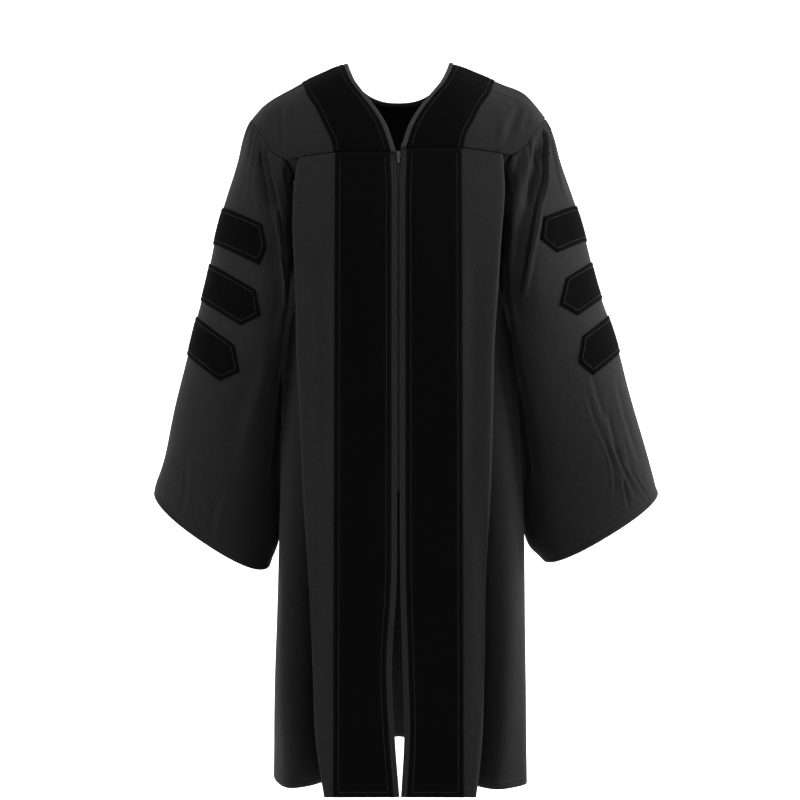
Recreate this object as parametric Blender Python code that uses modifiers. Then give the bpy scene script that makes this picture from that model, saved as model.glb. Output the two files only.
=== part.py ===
"""Doctoral graduation gown, worn and filled out with no wearer.

Every cloth piece is a thin wall through sections worked out from the tables
below. Metres, +Z up, the front faces -Y, and the origin lies between the
shoulders at the height of the neck points. Right and left are the wearer's,
so the right side lies at -X.
"""
import math

import bmesh
import bpy
import numpy as np
from mathutils import Matrix

COLLECTION_NAME = "graduation_gown"

# Cloth thicknesses and the gaps between sewn pieces
CLOTH = 0.0012
VELVET = 0.0016
BINDING = 0.0030
BINDING_LIFT = 0.0017
TAPE = 0.0008
SEAM_GAP = 0.0005
ARMHOLE_GAP = 0.0019
UNDERARM_GAP = 0.0014
SLEEVE_ROLL = 0.004
SLIDER_GAP = 0.0009
LAY_GAP = 0.00035
TAPE_GAP = 0.0004
BAR_GAP = 0.0011

# Driving sizes
GOWN_LENGTH = 1.319
NECK_HALF_WIDTH = 0.095
CHEST_DEPTH = 0.128
CHEST_TAPER = 0.023
CHEST_CURVE = 2.2
BACK_DEPTH = 0.112
BACK_TAPER = 0.012
YOKE_HALF_WIDTH = 0.200
BACK_YOKE_DROP = 0.200
YOKE_SLOPE = 0.12
YOKE_SLOPE_START = 0.118
SHOULDER_ROUNDNESS = 0.5
BACK_NECK_REACH = 0.40
BINDING_WIDTH = 0.0085
STRIP_WIDTH = 0.0105
VELVET_EDGE_X = 0.113
UNDERARM_Z = -0.365
ZIP_END_Z = -0.79
BAR_WIDTH = 0.068
BAR_POINT = 0.026
BAR_TIP_SHARE = 0.035
BAR_COLUMN_MARGIN = 0.3
BAR_SPANS = 5
BAR_REACH_COLUMNS = 15
BAR_SEARCH_STEPS = 30
FRONT_COLUMNS_TO_VELVET = 4
FRONT_COLUMNS_TO_FOLD = 3
YOKE_COLUMNS_IN_VELVET = 4
YOKE_COLUMNS_IN_CLOTH = 5
YOKE_ROWS = 8
BACK_COLUMNS = 56
SLEEVE_UPPER_COLUMNS = 32
SLEEVE_LOWER_COLUMNS = 14
GATHERED_ARC = 115.0
YOKE_ROW_CROWDING = 0.92
FIRST_ROW_DROP = 0.012

# Cross-sections: how the panel's front curves out to its pleat, how the back
# rounds off to its sides, and the turned edge of the pleat, given as shares of
# its softness or of its step back
PANEL_CURVE = 2.4
BACK_ACROSS_CURVE = 0.86
BACK_OUTWARD_CURVE = 0.80
PLEAT_SOFTNESS = 0.0025
PLEAT_LEAST_STEP = 0.0018
PLEAT_FLAT_END = 2.0
PLEAT_NOSE = 0.4
PLEAT_UNDERSIDE = (1.6, 1.9)
TUCK_FOOT = (0.3, 0.4)
SIDE_SHARES = (0.16, 0.5, 0.84)
SIDE_BULGE = 0.0015

# The back yoke's lines start at the shoulder seam, pass the ridge, turn the
# corner at the armhole and end in the middle of the back
BACK_RIDGE_SHARE = 0.25
BACK_CORNER_SHARE = 0.60
BACK_NECK_CURVES = (0.8, 1.1)
BACK_VELVET_CURVE = 0.75
BACK_VELVET_REACH = 0.86
BACK_SHARES = (0.0, 0.12, 0.25, 0.32, 0.39, 0.46, 0.53, 0.60, 0.68, 0.76, 0.84, 0.92, 1.0)

# Ridge of the shoulder: distance from the middle, height on each side
RIDGE_TABLE = {
    "x": (0.000, 0.095, 0.140, 0.181, 0.205, 0.222, 0.240, 0.251, 0.262, 0.275),
    "right": (0.000, 0.000, -0.016, -0.035, -0.0485, -0.0575, -0.068, -0.0755, -0.088, -0.1025),
    "left": (0.000, 0.000, -0.015, -0.0325, -0.0425, -0.0487, -0.0595, -0.0705, -0.086, -0.102),
}
# Half widths by turn: 0 on the shoulder ridge, 1 on the front yoke seam
NECKLINE_TABLE = {
    "turn": (0.00, 0.20, 0.36, 0.50, 0.62, 0.725, 0.83, 0.925, 1.00),
    "x": (0.095, 0.088, 0.078, 0.061, 0.0435, 0.029, 0.017, 0.010, 0.0045),
}
ARMHOLE_TABLE = {
    "turn": (0.00, 0.30, 0.48, 0.70, 0.87, 0.94, 1.00),
    "x": (0.275, 0.268, 0.260, 0.246, 0.231, 0.2185, 0.200),
}
VELVET_TABLE = {
    "turn": (0.00, 0.35, 0.60, 0.79, 0.86, 0.95, 1.00),
    "x": (0.181, 0.168, 0.147, 0.131, 0.123, 0.118, 0.116),
}
# The same widths over the back: 0 on the ridge, 1 on the back yoke seam
BACK_ARMHOLE_TABLE = {
    "turn": (0.00, 0.30, 0.55, 0.80, 1.00),
    "x": (0.275, 0.266, 0.250, 0.228, 0.207),
}

# Front sections: a row for each height, half a section from the zip outward.
# fold: edge of the pleat; tuck: the recess behind it; flute: the soft ridge
# of the side part; edge: its outer corner; seam: the armhole or side seam.
SECTION_NAMES = (
    "z", "depth", "fold_x", "fold_y", "tuck_x", "tuck_y", "flute_x", "flute_y",
    "edge_x", "edge_y", "seam_x", "seam_y",
)
LEFT_SECTIONS = (
    (-0.190, 0.128, 0.1880, 0.1105, 0.1840, 0.1062, 0.189, 0.1050, 0.195, 0.1045, 0.2000, 0.1035),
    (-0.250, 0.138, 0.1915, 0.122, 0.1740, 0.1080, 0.178, 0.0980, 0.182, 0.0830, 0.1840, 0.0740),
    (-0.330, 0.148, 0.1850, 0.136, 0.1660, 0.1150, 0.173, 0.0960, 0.180, 0.0620, 0.1805, 0.0380),
    (-0.365, 0.151, 0.1820, 0.141, 0.1640, 0.1180, 0.173, 0.0960, 0.182, 0.0550, 0.1820, 0.0000),
    (-0.420, 0.155, 0.1780, 0.147, 0.1620, 0.1200, 0.175, 0.0970, 0.186, 0.0550, 0.1860, 0.0000),
    (-0.520, 0.161, 0.1700, 0.155, 0.1550, 0.1180, 0.181, 0.1000, 0.2050, 0.0580, 0.2040, 0.0000),
    (-0.660, 0.169, 0.1660, 0.165, 0.1530, 0.1180, 0.190, 0.1080, 0.2190, 0.0620, 0.2170, 0.0000),
    (-0.800, 0.177, 0.1620, 0.174, 0.1500, 0.1180, 0.195, 0.1170, 0.2265, 0.0700, 0.2240, 0.0000),
    (-0.950, 0.185, 0.1550, 0.183, 0.1440, 0.1190, 0.197, 0.1280, 0.2290, 0.0800, 0.2260, 0.0000),
    (-1.100, 0.192, 0.1520, 0.191, 0.1420, 0.1180, 0.193, 0.1370, 0.2290, 0.0920, 0.2265, 0.0000),
    (-1.220, 0.197, 0.1460, 0.197, 0.1370, 0.1150, 0.185, 0.1450, 0.2290, 0.1050, 0.2280, 0.0000),
    (-1.319, 0.202, 0.1350, 0.203, 0.1290, 0.1130, 0.172, 0.1530, 0.2285, 0.1180, 0.2290, 0.0000),
)
RIGHT_SECTIONS = (
    (-0.190, 0.128, 0.1790, 0.1130, 0.1740, 0.1085, 0.182, 0.1065, 0.191, 0.1050, 0.2000, 0.1035),
    (-0.250, 0.138, 0.1870, 0.123, 0.1700, 0.1090, 0.176, 0.0990, 0.182, 0.0830, 0.1840, 0.0740),
    (-0.330, 0.148, 0.1890, 0.135, 0.1690, 0.1150, 0.174, 0.0960, 0.180, 0.0620, 0.1805, 0.0380),
    (-0.365, 0.151, 0.1880, 0.140, 0.1680, 0.1170, 0.174, 0.0960, 0.182, 0.0550, 0.1820, 0.0000),
    (-0.420, 0.155, 0.1850, 0.146, 0.1670, 0.1190, 0.176, 0.0960, 0.186, 0.0550, 0.1860, 0.0000),
    (-0.520, 0.161, 0.1810, 0.155, 0.1640, 0.1170, 0.183, 0.0970, 0.2030, 0.0560, 0.2020, 0.0000),
    (-0.660, 0.169, 0.1735, 0.165, 0.1590, 0.1150, 0.192, 0.1030, 0.2130, 0.0580, 0.2120, 0.0000),
    (-0.800, 0.177, 0.1670, 0.174, 0.1540, 0.1130, 0.198, 0.1130, 0.2170, 0.0620, 0.2160, 0.0000),
    (-0.950, 0.185, 0.1590, 0.183, 0.1470, 0.1110, 0.202, 0.1230, 0.2190, 0.0640, 0.2180, 0.0000),
    (-1.100, 0.192, 0.1510, 0.191, 0.1400, 0.1060, 0.201, 0.1330, 0.2235, 0.0660, 0.2225, 0.0000),
    (-1.220, 0.197, 0.1440, 0.197, 0.1350, 0.0980, 0.197, 0.1410, 0.2280, 0.0660, 0.2270, 0.0000),
    (-1.319, 0.202, 0.1290, 0.203, 0.1260, 0.0900, 0.190, 0.1460, 0.2285, 0.0640, 0.2280, 0.0000),
)
# Opening down the front: height, edge on the right side, edge on the left side
FRONT_EDGE_TABLE = {
    "z": (-1.319, -1.260, -1.213, -1.150, -1.116, -1.012, -0.900, -0.800, -0.240, -0.212, -0.185),
    "right": (-0.002, 0.004, 0.0064, 0.013, 0.012, 0.0045, 0.0028, 0.0022, 0.0022, 0.0042, 0.0046),
    "left": (0.0043, 0.0048, 0.0106, 0.0147, 0.0085, 0.0042, 0.0028, 0.0022, 0.0022, 0.0042, 0.0046),
}
# Back sections: height, depth at the middle, armhole or side seam
BACK_TABLE = {
    "z": (-1.319, -1.100, -0.800, -0.520, -0.365, -0.330, -0.250, -0.200),
    "depth": (0.230, 0.210, 0.176, 0.147, 0.131, 0.127, 0.118, 0.112),
    "seam_y": (0.000, 0.000, 0.000, 0.000, 0.000, 0.042, 0.082, 0.0990),
    "seam_x": (0.182, 0.182, 0.182, 0.182, 0.182, 0.1815, 0.190, 0.2040),
}
# Flutes of the back: place in degrees round the back, depth at the hem
BACK_FLUTES = {
    "place": (-62, -50, -39, -29, -19, -9, 0, 10, 19, 30, 40, 51, 62),
    "depth": (
        0.010, 0.017, 0.014, 0.020, 0.016, 0.021, 0.018, 0.022, 0.015, 0.020, 0.014, 0.018, 0.010,
    ),
}
FLUTE_HALF_WIDTH = 3.6
FLUTE_MEAN = 0.006
FLUTE_SHARE_AT_YOKE = 0.16
EXTRA_FRONT_ROWS = (-0.212, -0.290)
EXTRA_BACK_ROWS = (-0.290, -0.660, -0.950, -1.220)

# Sleeves: a row from the armhole to the cuff. outer and inner: ends of the
# ring; front and back: its reach along Y; hollow: how far the ring's front
# and back sides are drawn towards the body; dip: how far the front hangs
# below the ends; rise: how far the back lies above them.
SLEEVE_NAMES = (
    "row", "outer_x", "outer_z", "inner_x", "inner_z", "front", "back", "hollow", "dip", "rise",
)
LEFT_SLEEVE = (
    (0.000, 0.275, -0.102, 0.182, -0.365, 0.105, 0.102, 0.036, 0.000, 0.000),
    (0.143, 0.300, -0.175, 0.200, -0.420, 0.120, 0.118, 0.048, 0.000, 0.002),
    (0.286, 0.336, -0.285, 0.216, -0.500, 0.128, 0.125, 0.062, 0.001, 0.006),
    (0.429, 0.370, -0.405, 0.226, -0.600, 0.128, 0.125, 0.048, 0.002, 0.012),
    (0.571, 0.405, -0.517, 0.232, -0.690, 0.124, 0.121, 0.030, 0.004, 0.018),
    (0.714, 0.438, -0.640, 0.238, -0.780, 0.120, 0.116, 0.012, 0.006, 0.024),
    (0.857, 0.467, -0.740, 0.244, -0.862, 0.115, 0.111, 0.003, 0.009, 0.030),
    (1.000, 0.484, -0.798, 0.270, -0.928, 0.110, 0.107, 0.000, 0.013, 0.034),
)
RIGHT_SLEEVE = (
    (0.000, 0.275, -0.102, 0.182, -0.365, 0.105, 0.102, 0.036, 0.000, 0.000),
    (0.143, 0.298, -0.175, 0.200, -0.420, 0.120, 0.118, 0.046, 0.000, 0.002),
    (0.286, 0.331, -0.285, 0.214, -0.500, 0.128, 0.125, 0.054, 0.001, 0.006),
    (0.429, 0.360, -0.405, 0.222, -0.600, 0.128, 0.125, 0.040, 0.002, 0.012),
    (0.571, 0.387, -0.517, 0.227, -0.690, 0.124, 0.121, 0.024, 0.004, 0.018),
    (0.714, 0.416, -0.640, 0.231, -0.780, 0.120, 0.116, 0.010, 0.006, 0.024),
    (0.857, 0.441, -0.745, 0.235, -0.865, 0.115, 0.111, 0.002, 0.014, 0.030),
    (1.000, 0.456, -0.796, 0.243, -0.938, 0.110, 0.107, 0.000, 0.021, 0.034),
)
SLEEVE_ROWS = (0.0, 0.03, 0.08, 0.15, 0.24, 0.34, 0.45, 0.57, 0.69, 0.80, 0.90, 0.96, 1.0)
RING_SQUARENESS = 0.85
CAP_GATHERS = 0.0022
CAP_PUFF = 0.004
PUFF_ROW = 0.06
GATHER_START = 0.02
GATHER_END = 0.22
FIT_END = 0.34
ROLL_ROW = 0.05
ROLL_ANGLES = (75.0, 30.0)
GAP_EASE = 0.12
# Long folds of the sleeves: where each starts and ends (row, degrees round
# the ring from the outer line over the front), depth and half width
SLEEVE_FOLD_NAMES = ("row", "angle", "end_row", "end_angle", "depth", "width")
LEFT_SLEEVE_FOLDS = (
    (0.00, 40.0, 0.48, 118.0, 0.016, 11.0),
    (0.00, 78.0, 0.42, 142.0, 0.010, 9.0),
    (0.00, -48.0, 0.44, -105.0, 0.010, 14.0),
    (0.00, -86.0, 0.40, -136.0, 0.008, 12.0),
)
RIGHT_SLEEVE_FOLDS = (
    (0.00, 46.0, 0.50, 122.0, 0.012, 12.0),
    (0.00, 74.0, 0.40, 146.0, 0.007, 12.0),
    (0.00, -44.0, 0.46, -112.0, 0.010, 14.0),
    (0.00, -80.0, 0.42, -140.0, 0.008, 12.0),
)
FOLD_START = 0.08
FOLD_FADE = 0.25
FOLD_BEND = 0.8
# Bars: height of the upper edge on the outer line, slope towards the body,
# where the upper corner, the point and the lower corner of the front end lie,
# and the point of the back end (distances from the middle)
BAR_NAMES = ("top", "slope", "front_upper", "front_tip", "front_lower", "back_tip")
LEFT_BARS = (
    (-0.268, 25.0, 0.261, 0.255, 0.286, 0.246),
    (-0.372, 33.0, 0.302, 0.289, 0.323, 0.262),
    (-0.472, 36.0, 0.331, 0.323, 0.350, 0.292),
)
RIGHT_BARS = (
    (-0.272, 27.0, 0.244, 0.236, 0.248, 0.262),
    (-0.375, 31.0, 0.255, 0.246, 0.282, 0.290),
    (-0.474, 35.0, 0.294, 0.284, 0.320, 0.318),
)

# Zip: the columns of a tape, where it starts, the slider and its pull tab
TAPE_X = (0.0003, 0.006, 0.013)
TAPE_TOP_Z = -0.190
SLIDER_SIZE = (0.0070, 0.0022, 0.0100)
SLIDER_Z = -0.1905
BRIDGE_SIZE = (0.0016, 0.0030, 0.0058)
BRIDGE_SINK = 0.0003
BRIDGE_RISE = 0.0008
BRIDGE_WINDOW = (0.0040, 0.0017, 0.0030)
TAB_SIZE = (0.0046, 0.0009, 0.0170)
TAB_WINDOW = (0.0026, 0.0040, 0.0034)
TAB_BAR = 0.0010

BLACK_CLOTH = ("gown_cloth", (0.016, 0.016, 0.0165), 0.80, 0.0)
BLACK_VELVET = ("cotton_velvet", (0.0035, 0.0035, 0.0036), 0.95, 0.0)
ZIP_TAPE = ("zip_tape", (0.012, 0.012, 0.012), 0.70, 0.0)
ZIP_METAL = ("zip_metal", (0.25, 0.25, 0.26), 0.35, 1.0)

SIDES = {"right": -1.0, "left": 1.0}
SECTIONS = {"right": RIGHT_SECTIONS, "left": LEFT_SECTIONS}
SLEEVES = {"right": RIGHT_SLEEVE, "left": LEFT_SLEEVE}
SLEEVE_FOLDS = {"right": RIGHT_SLEEVE_FOLDS, "left": LEFT_SLEEVE_FOLDS}
BARS = {"right": RIGHT_BARS, "left": LEFT_BARS}
YOKE_DEPTH = {"right": 0.187, "left": 0.179}
SHOULDER_SEAM_TURN = {"right": 0.10, "left": 0.30}


def smooth_value(places, values, at):
    """Read a table of rising places with a monotone cubic curve."""
    places = np.asarray(places, dtype=float)
    values = np.asarray(values, dtype=float)
    steps = np.diff(places)
    slopes = np.diff(values) / steps
    tangents = np.zeros(len(places))
    for i in range(1, len(places) - 1):
        if slopes[i - 1] * slopes[i] > 0:
            weight_a = 2 * steps[i] + steps[i - 1]
            weight_b = steps[i] + 2 * steps[i - 1]
            total = weight_a + weight_b
            tangents[i] = total / (weight_a / slopes[i - 1] + weight_b / slopes[i])
    tangents[0] = slopes[0]
    tangents[-1] = slopes[-1]
    at = min(max(at, places[0]), places[-1])
    i = min(int(np.searchsorted(places, at, side="right")) - 1, len(steps) - 1)
    share = (at - places[i]) / steps[i]
    start = (1 + 2 * share) * (1 - share) ** 2 * values[i]
    start += share * (1 - share) ** 2 * steps[i] * tangents[i]
    end = share ** 2 * (3 - 2 * share) * values[i + 1]
    end += share ** 2 * (share - 1) * steps[i] * tangents[i + 1]
    return float(start + end)


def read_table(table, key, column, at):
    """Read one column of a table of named columns."""
    return smooth_value(table[key], table[column], at)


def read_rows(rows, names, at):
    """Read every column of a table of rows, keyed by its first column."""
    ordered = sorted(rows)
    keys = [row[0] for row in ordered]
    return {
        name: smooth_value(keys, [row[i] for row in ordered], at)
        for i, name in enumerate(names)
    }


def smooth_step(share):
    """Ease from 0 to 1."""
    share = min(max(share, 0.0), 1.0)
    return share * share * (3 - 2 * share)


def fall_share(turn):
    """Share of the yoke's height that is reached at a turn."""
    angle = turn * math.pi / 2
    return (1 - math.cos(angle)) * (1 - SHOULDER_ROUNDNESS) + turn * SHOULDER_ROUNDNESS


def yoke_seam_height(side, x):
    """Height of the front yoke seam, which falls towards the armhole."""
    return -YOKE_DEPTH[side] - YOKE_SLOPE * max(0.0, x - YOKE_SLOPE_START)


def chest_y(x):
    """How far the chest stands out on the front yoke seam."""
    return -(CHEST_DEPTH - CHEST_TAPER * (x / YOKE_HALF_WIDTH) ** CHEST_CURVE)


def upper_back_y(x):
    """How far the back stands out on the back yoke seam."""
    return BACK_DEPTH - BACK_TAPER * (x / YOKE_HALF_WIDTH) ** 2


def shoulder_point(side, x, turn):
    """Point of the yokes: turn -1 front yoke seam, 0 ridge, 1 back yoke seam."""
    ridge = read_table(RIDGE_TABLE, "x", side, x)
    if turn < 0:
        reach = math.sin(-turn * math.pi / 2)
        y = chest_y(x) * reach
        z = ridge + (yoke_seam_height(side, x) - ridge) * fall_share(-turn)
    else:
        reach = math.sin(turn * math.pi / 2)
        y = upper_back_y(x) * reach
        z = ridge + (-BACK_YOKE_DROP - ridge) * fall_share(turn)
    return np.array((SIDES[side] * x, y, z))


def section_points(side, z):
    """Named points of the front section at a height, as distances outward."""
    row = read_rows(SECTIONS[side], SECTION_NAMES, z)
    return row, read_table(FRONT_EDGE_TABLE, "z", side, z)


def panel_front_y(row, x):
    """The front of the panel between the zip and the pleat's edge."""
    share = min(max(x / row["fold_x"], 0.0), 1.0)
    return -(row["depth"] + (row["fold_y"] - row["depth"]) * share ** PANEL_CURVE)


def bezier(points, share):
    """Point on a Bezier curve of any degree."""
    points = [np.asarray(point, dtype=float) for point in points]
    while len(points) > 1:
        points = [a + (b - a) * share for a, b in zip(points[:-1], points[1:])]
    return points[0]


def front_section(side, z):
    """Cross-section of a front panel, from the zip round to the side seam."""
    row, edge = section_points(side, z)
    strip = edge + STRIP_WIDTH
    soft = PLEAT_SOFTNESS
    fold = np.array((row["fold_x"], -row["fold_y"]))
    tuck = np.array((row["tuck_x"], -row["tuck_y"]))
    flute = np.array((row["flute_x"], -row["flute_y"]))
    corner = np.array((row["edge_x"], -row["edge_y"]))
    seam = np.array((row["seam_x"], -row["seam_y"]))
    xs = [edge]
    for i in range(FRONT_COLUMNS_TO_VELVET + 1):
        xs.append(strip + (VELVET_EDGE_X - strip) * i / FRONT_COLUMNS_TO_VELVET)
    last = fold[0] - PLEAT_FLAT_END * soft
    for i in range(1, FRONT_COLUMNS_TO_FOLD + 1):
        xs.append(VELVET_EDGE_X + (last - VELVET_EDGE_X) * i / FRONT_COLUMNS_TO_FOLD)
    section = [np.array((x, panel_front_y(row, x))) for x in xs]
    step = max(min(soft, (tuck[1] - fold[1]) / 3), PLEAT_LEAST_STEP)
    section.append(fold + np.array((0.0, PLEAT_NOSE * step)))
    section.append(fold + np.array((-PLEAT_UNDERSIDE[0] * soft, PLEAT_UNDERSIDE[1] * step)))
    section.append(tuck + np.array((TUCK_FOOT[0] * soft, -TUCK_FOOT[1] * step)))
    ridge = 2 * flute - 0.5 * (tuck + corner)
    for share in SIDE_SHARES:
        section.append(bezier((tuck + (0.0, step), ridge, corner), share))
    section.append(corner)
    section.append(0.5 * (corner + seam) + np.array((SIDE_BULGE, 0.0)))
    section.append(seam)
    return section


def front_rows(side):
    """Heights of a front panel's rows, top first."""
    heights = {row[0] for row in SECTIONS[side]}
    return sorted(heights | set(EXTRA_FRONT_ROWS), reverse=True)


def front_grid(side):
    """Points of a front panel: rows from the yoke seam to the hem."""
    grid = []
    for i, z in enumerate(front_rows(side)):
        line = []
        for x, y in front_section(side, z):
            height = z
            if i == 0:
                height = yoke_seam_height(side, x) - SEAM_GAP
            if i == 1:
                height = min(z, yoke_seam_height(side, x) - FIRST_ROW_DROP)
            line.append((SIDES[side] * x, y, height))
        grid.append(line)
    return np.array(grid)


def back_section_point(z, place):
    """Point of the back at a height; place -1 right seam, 0 middle, 1 left seam."""
    depth = read_table(BACK_TABLE, "z", "depth", z)
    seam_y = read_table(BACK_TABLE, "z", "seam_y", z)
    seam_x = back_armhole_edge("right" if place < 0 else "left", z)[0]
    angle = place * math.pi / 2
    across = math.copysign(abs(math.sin(angle)) ** BACK_ACROSS_CURVE, place)
    outward = math.cos(angle) ** BACK_OUTWARD_CURVE if abs(place) < 1 else 0.0
    degrees = place * 90.0
    down = (-BACK_YOKE_DROP - z) / (GOWN_LENGTH - BACK_YOKE_DROP)
    share = FLUTE_SHARE_AT_YOKE + (1 - FLUTE_SHARE_AT_YOKE) * smooth_step(down)
    bulge = 0.0
    for centre, height in zip(BACK_FLUTES["place"], BACK_FLUTES["depth"]):
        bulge += height * math.exp(-((degrees - centre) / FLUTE_HALF_WIDTH) ** 2)
    bulge = (bulge - FLUTE_MEAN * math.cos(angle)) * share
    normal = np.array((math.sin(angle), math.cos(angle)))
    point = np.array((across * seam_x, seam_y + (depth - seam_y) * outward))
    return point + normal * bulge


def back_rows():
    """Heights of the back panel's rows, top first."""
    return sorted(set(BACK_TABLE["z"]) | set(EXTRA_BACK_ROWS), reverse=True)


def back_grid():
    """Points of the back panel: rows from the back yoke seam to the hem."""
    grid = []
    for i, z in enumerate(back_rows()):
        line = []
        for j in range(BACK_COLUMNS + 1):
            place = -1 + 2 * j / BACK_COLUMNS
            x, y = back_section_point(z, place)
            if z <= UNDERARM_Z and abs(place) == 1:
                y += SEAM_GAP
            height = -BACK_YOKE_DROP - SEAM_GAP if i == 0 else z
            line.append((x, y, height))
        grid.append(line)
    return np.array(grid)


def inset_share(side, inner, outer, width):
    """Share of the way from inner to outer that covers a width on the cloth."""
    start = shoulder_point(side, *inner)
    end = shoulder_point(side, *outer)
    return width / float(np.linalg.norm(end - start))


def yoke_line(side, inner, velvet, outer):
    """One line of a yoke from beside the binding to its outer edge."""
    inner = np.asarray(inner)
    velvet = np.asarray(velvet)
    outer = np.asarray(outer)
    share = inset_share(side, inner, velvet, BINDING_WIDTH + SEAM_GAP)
    start = inner + (velvet - inner) * share
    line = []
    for i in range(YOKE_COLUMNS_IN_VELVET + 1):
        x, turn = start + (velvet - start) * i / YOKE_COLUMNS_IN_VELVET
        line.append(shoulder_point(side, x, turn))
    for i in range(1, YOKE_COLUMNS_IN_CLOTH + 1):
        x, turn = velvet + (outer - velvet) * i / YOKE_COLUMNS_IN_CLOTH
        line.append(shoulder_point(side, x, turn))
    return line


def front_edges(turn):
    """Neckline, velvet edge and armhole at a turn of the front yoke."""
    neck = (read_table(NECKLINE_TABLE, "turn", "x", turn), -turn)
    velvet = (read_table(VELVET_TABLE, "turn", "x", turn), -turn)
    arm = (read_table(ARMHOLE_TABLE, "turn", "x", turn), -turn)
    return neck, velvet, arm


def front_turns(side):
    """Turns of the front yoke's rows, from the shoulder seam to the yoke seam."""
    start = SHOULDER_SEAM_TURN[side]
    shares = [(i / YOKE_ROWS) ** YOKE_ROW_CROWDING for i in range(YOKE_ROWS + 1)]
    return [start + (1 - start) * share for share in shares]


def front_yoke_grid(side):
    """Points of a front yoke."""
    return np.array([yoke_line(side, *front_edges(turn)) for turn in front_turns(side)])


def back_line(side, share):
    """Edges of the back yoke at a share of the way to the middle of the back."""
    ridge = BACK_RIDGE_SHARE
    corner = BACK_CORNER_SHARE
    if share <= ridge:
        return front_edges(SHOULDER_SEAM_TURN[side] * (1 - share / ridge))
    part = (share - ridge) / (1 - ridge)
    angle = part * math.pi / 2
    across = math.cos(angle) if share < 1 else 0.0
    neck_x = NECK_HALF_WIDTH * across ** BACK_NECK_CURVES[0]
    neck = (neck_x, BACK_NECK_REACH * math.sin(angle) ** BACK_NECK_CURVES[1])
    velvet_x = VELVET_TABLE["x"][0] * across ** BACK_VELVET_CURVE
    velvet = (velvet_x, BACK_VELVET_REACH * math.sin(angle))
    if share <= corner:
        turn = (share - ridge) / (corner - ridge)
        outer = (read_table(BACK_ARMHOLE_TABLE, "turn", "x", turn), turn)
    else:
        outwards = 1 - (share - corner) / (1 - corner)
        outer = (BACK_ARMHOLE_TABLE["x"][-1] * outwards, 1.0)
    return neck, velvet, outer


def back_yoke_grid():
    """Points of the back yoke, from the right shoulder seam to the left one."""
    grid = []
    for side, shares in (("right", BACK_SHARES), ("left", BACK_SHARES[-2::-1])):
        for share in shares:
            grid.append(yoke_line(side, *back_line(side, share)))
    grid = np.array(grid)
    for line, towards in ((0, 1), (-1, -2)):
        step = grid[towards] - grid[line]
        length = np.linalg.norm(step, axis=1, keepdims=True)
        grid[line] += step / length * SEAM_GAP
    return grid


def binding_line(side, inner, velvet):
    """Three points across the binding of the neckline."""
    inner = np.asarray(inner)
    velvet = np.asarray(velvet)
    share = inset_share(side, inner, velvet, BINDING_WIDTH)
    points = []
    for part in (0.0, 0.5, 1.0):
        x, turn = inner + (velvet - inner) * share * part
        points.append(shoulder_point(side, x, turn))
    return points


def grid_normals(grid, facing, closed=False):
    """Unit normals away from the wearer, from each point's neighbours.

    facing is 1 where columns times rows gives them, and -1 where it gives
    their opposite.
    """
    if closed:
        along = np.roll(grid, -1, axis=1) - np.roll(grid, 1, axis=1)
    else:
        along = np.gradient(grid, axis=1)
    down = np.gradient(grid, axis=0)
    normals = np.cross(along, down)
    length = np.linalg.norm(normals, axis=2, keepdims=True)
    return facing * normals / np.maximum(length, 1e-12)


def make_material(finish):
    """Principled material with a colour, a roughness and a metallic value."""
    name, colour, roughness, metallic = finish
    material = bpy.data.materials.get(name)
    if material:
        return material
    material = bpy.data.materials.new(name)
    material.use_nodes = True
    shader = material.node_tree.nodes["Principled BSDF"]
    shader.inputs["Base Color"].default_value = (*colour, 1.0)
    shader.inputs["Roughness"].default_value = roughness
    shader.inputs["Metallic"].default_value = metallic
    return material


def place_object(mesh, name, finish):
    """Put a mesh in the gown's collection with its material."""
    mesh.materials.append(make_material(finish))
    piece = bpy.data.objects.new(name, mesh)
    bpy.data.collections[COLLECTION_NAME].objects.link(piece)
    return piece


def cloth_wall(name, grid, finish, thickness, facing, grows_out=False, closed=False):
    """An open sheet through a grid of points, made solid by its thickness.

    The sheet is the outer face and the wall grows inward, or the other way
    round where grows_out is set.
    """
    rows, columns = grid.shape[:2]
    mesh = bpy.data.meshes.new(name)
    vertices = [tuple(point) for point in grid.reshape(-1, 3)]
    faces = []
    spans = columns if closed else columns - 1
    for i in range(rows - 1):
        for j in range(spans):
            k = (j + 1) % columns
            face = (i * columns + j, i * columns + k, (i + 1) * columns + k, (i + 1) * columns + j)
            faces.append(face if facing > 0 else face[::-1])
    mesh.from_pydata(vertices, [], faces)
    mesh.update()
    piece = place_object(mesh, name, finish)
    wall = piece.modifiers.new("Wall", "SOLIDIFY")
    wall.thickness = thickness
    wall.offset = 1.0 if grows_out else -1.0
    wall.use_rim = True
    mesh.shade_smooth()
    return piece


def front_armhole_edge(side, z):
    """The front panel's edge at the armhole, as a distance outward, y and z."""
    row = section_points(side, z)[0]
    return (row["seam_x"], -row["seam_y"], z)


def back_armhole_edge(side, z):
    """The back panel's edge at the armhole, as a distance outward, y and z."""
    if z < UNDERARM_Z:
        return (section_points(side, z)[0]["seam_x"], 0.0, z)
    x = read_table(BACK_TABLE, "z", "seam_x", z)
    return (x, read_table(BACK_TABLE, "z", "seam_y", z), z)


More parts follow.
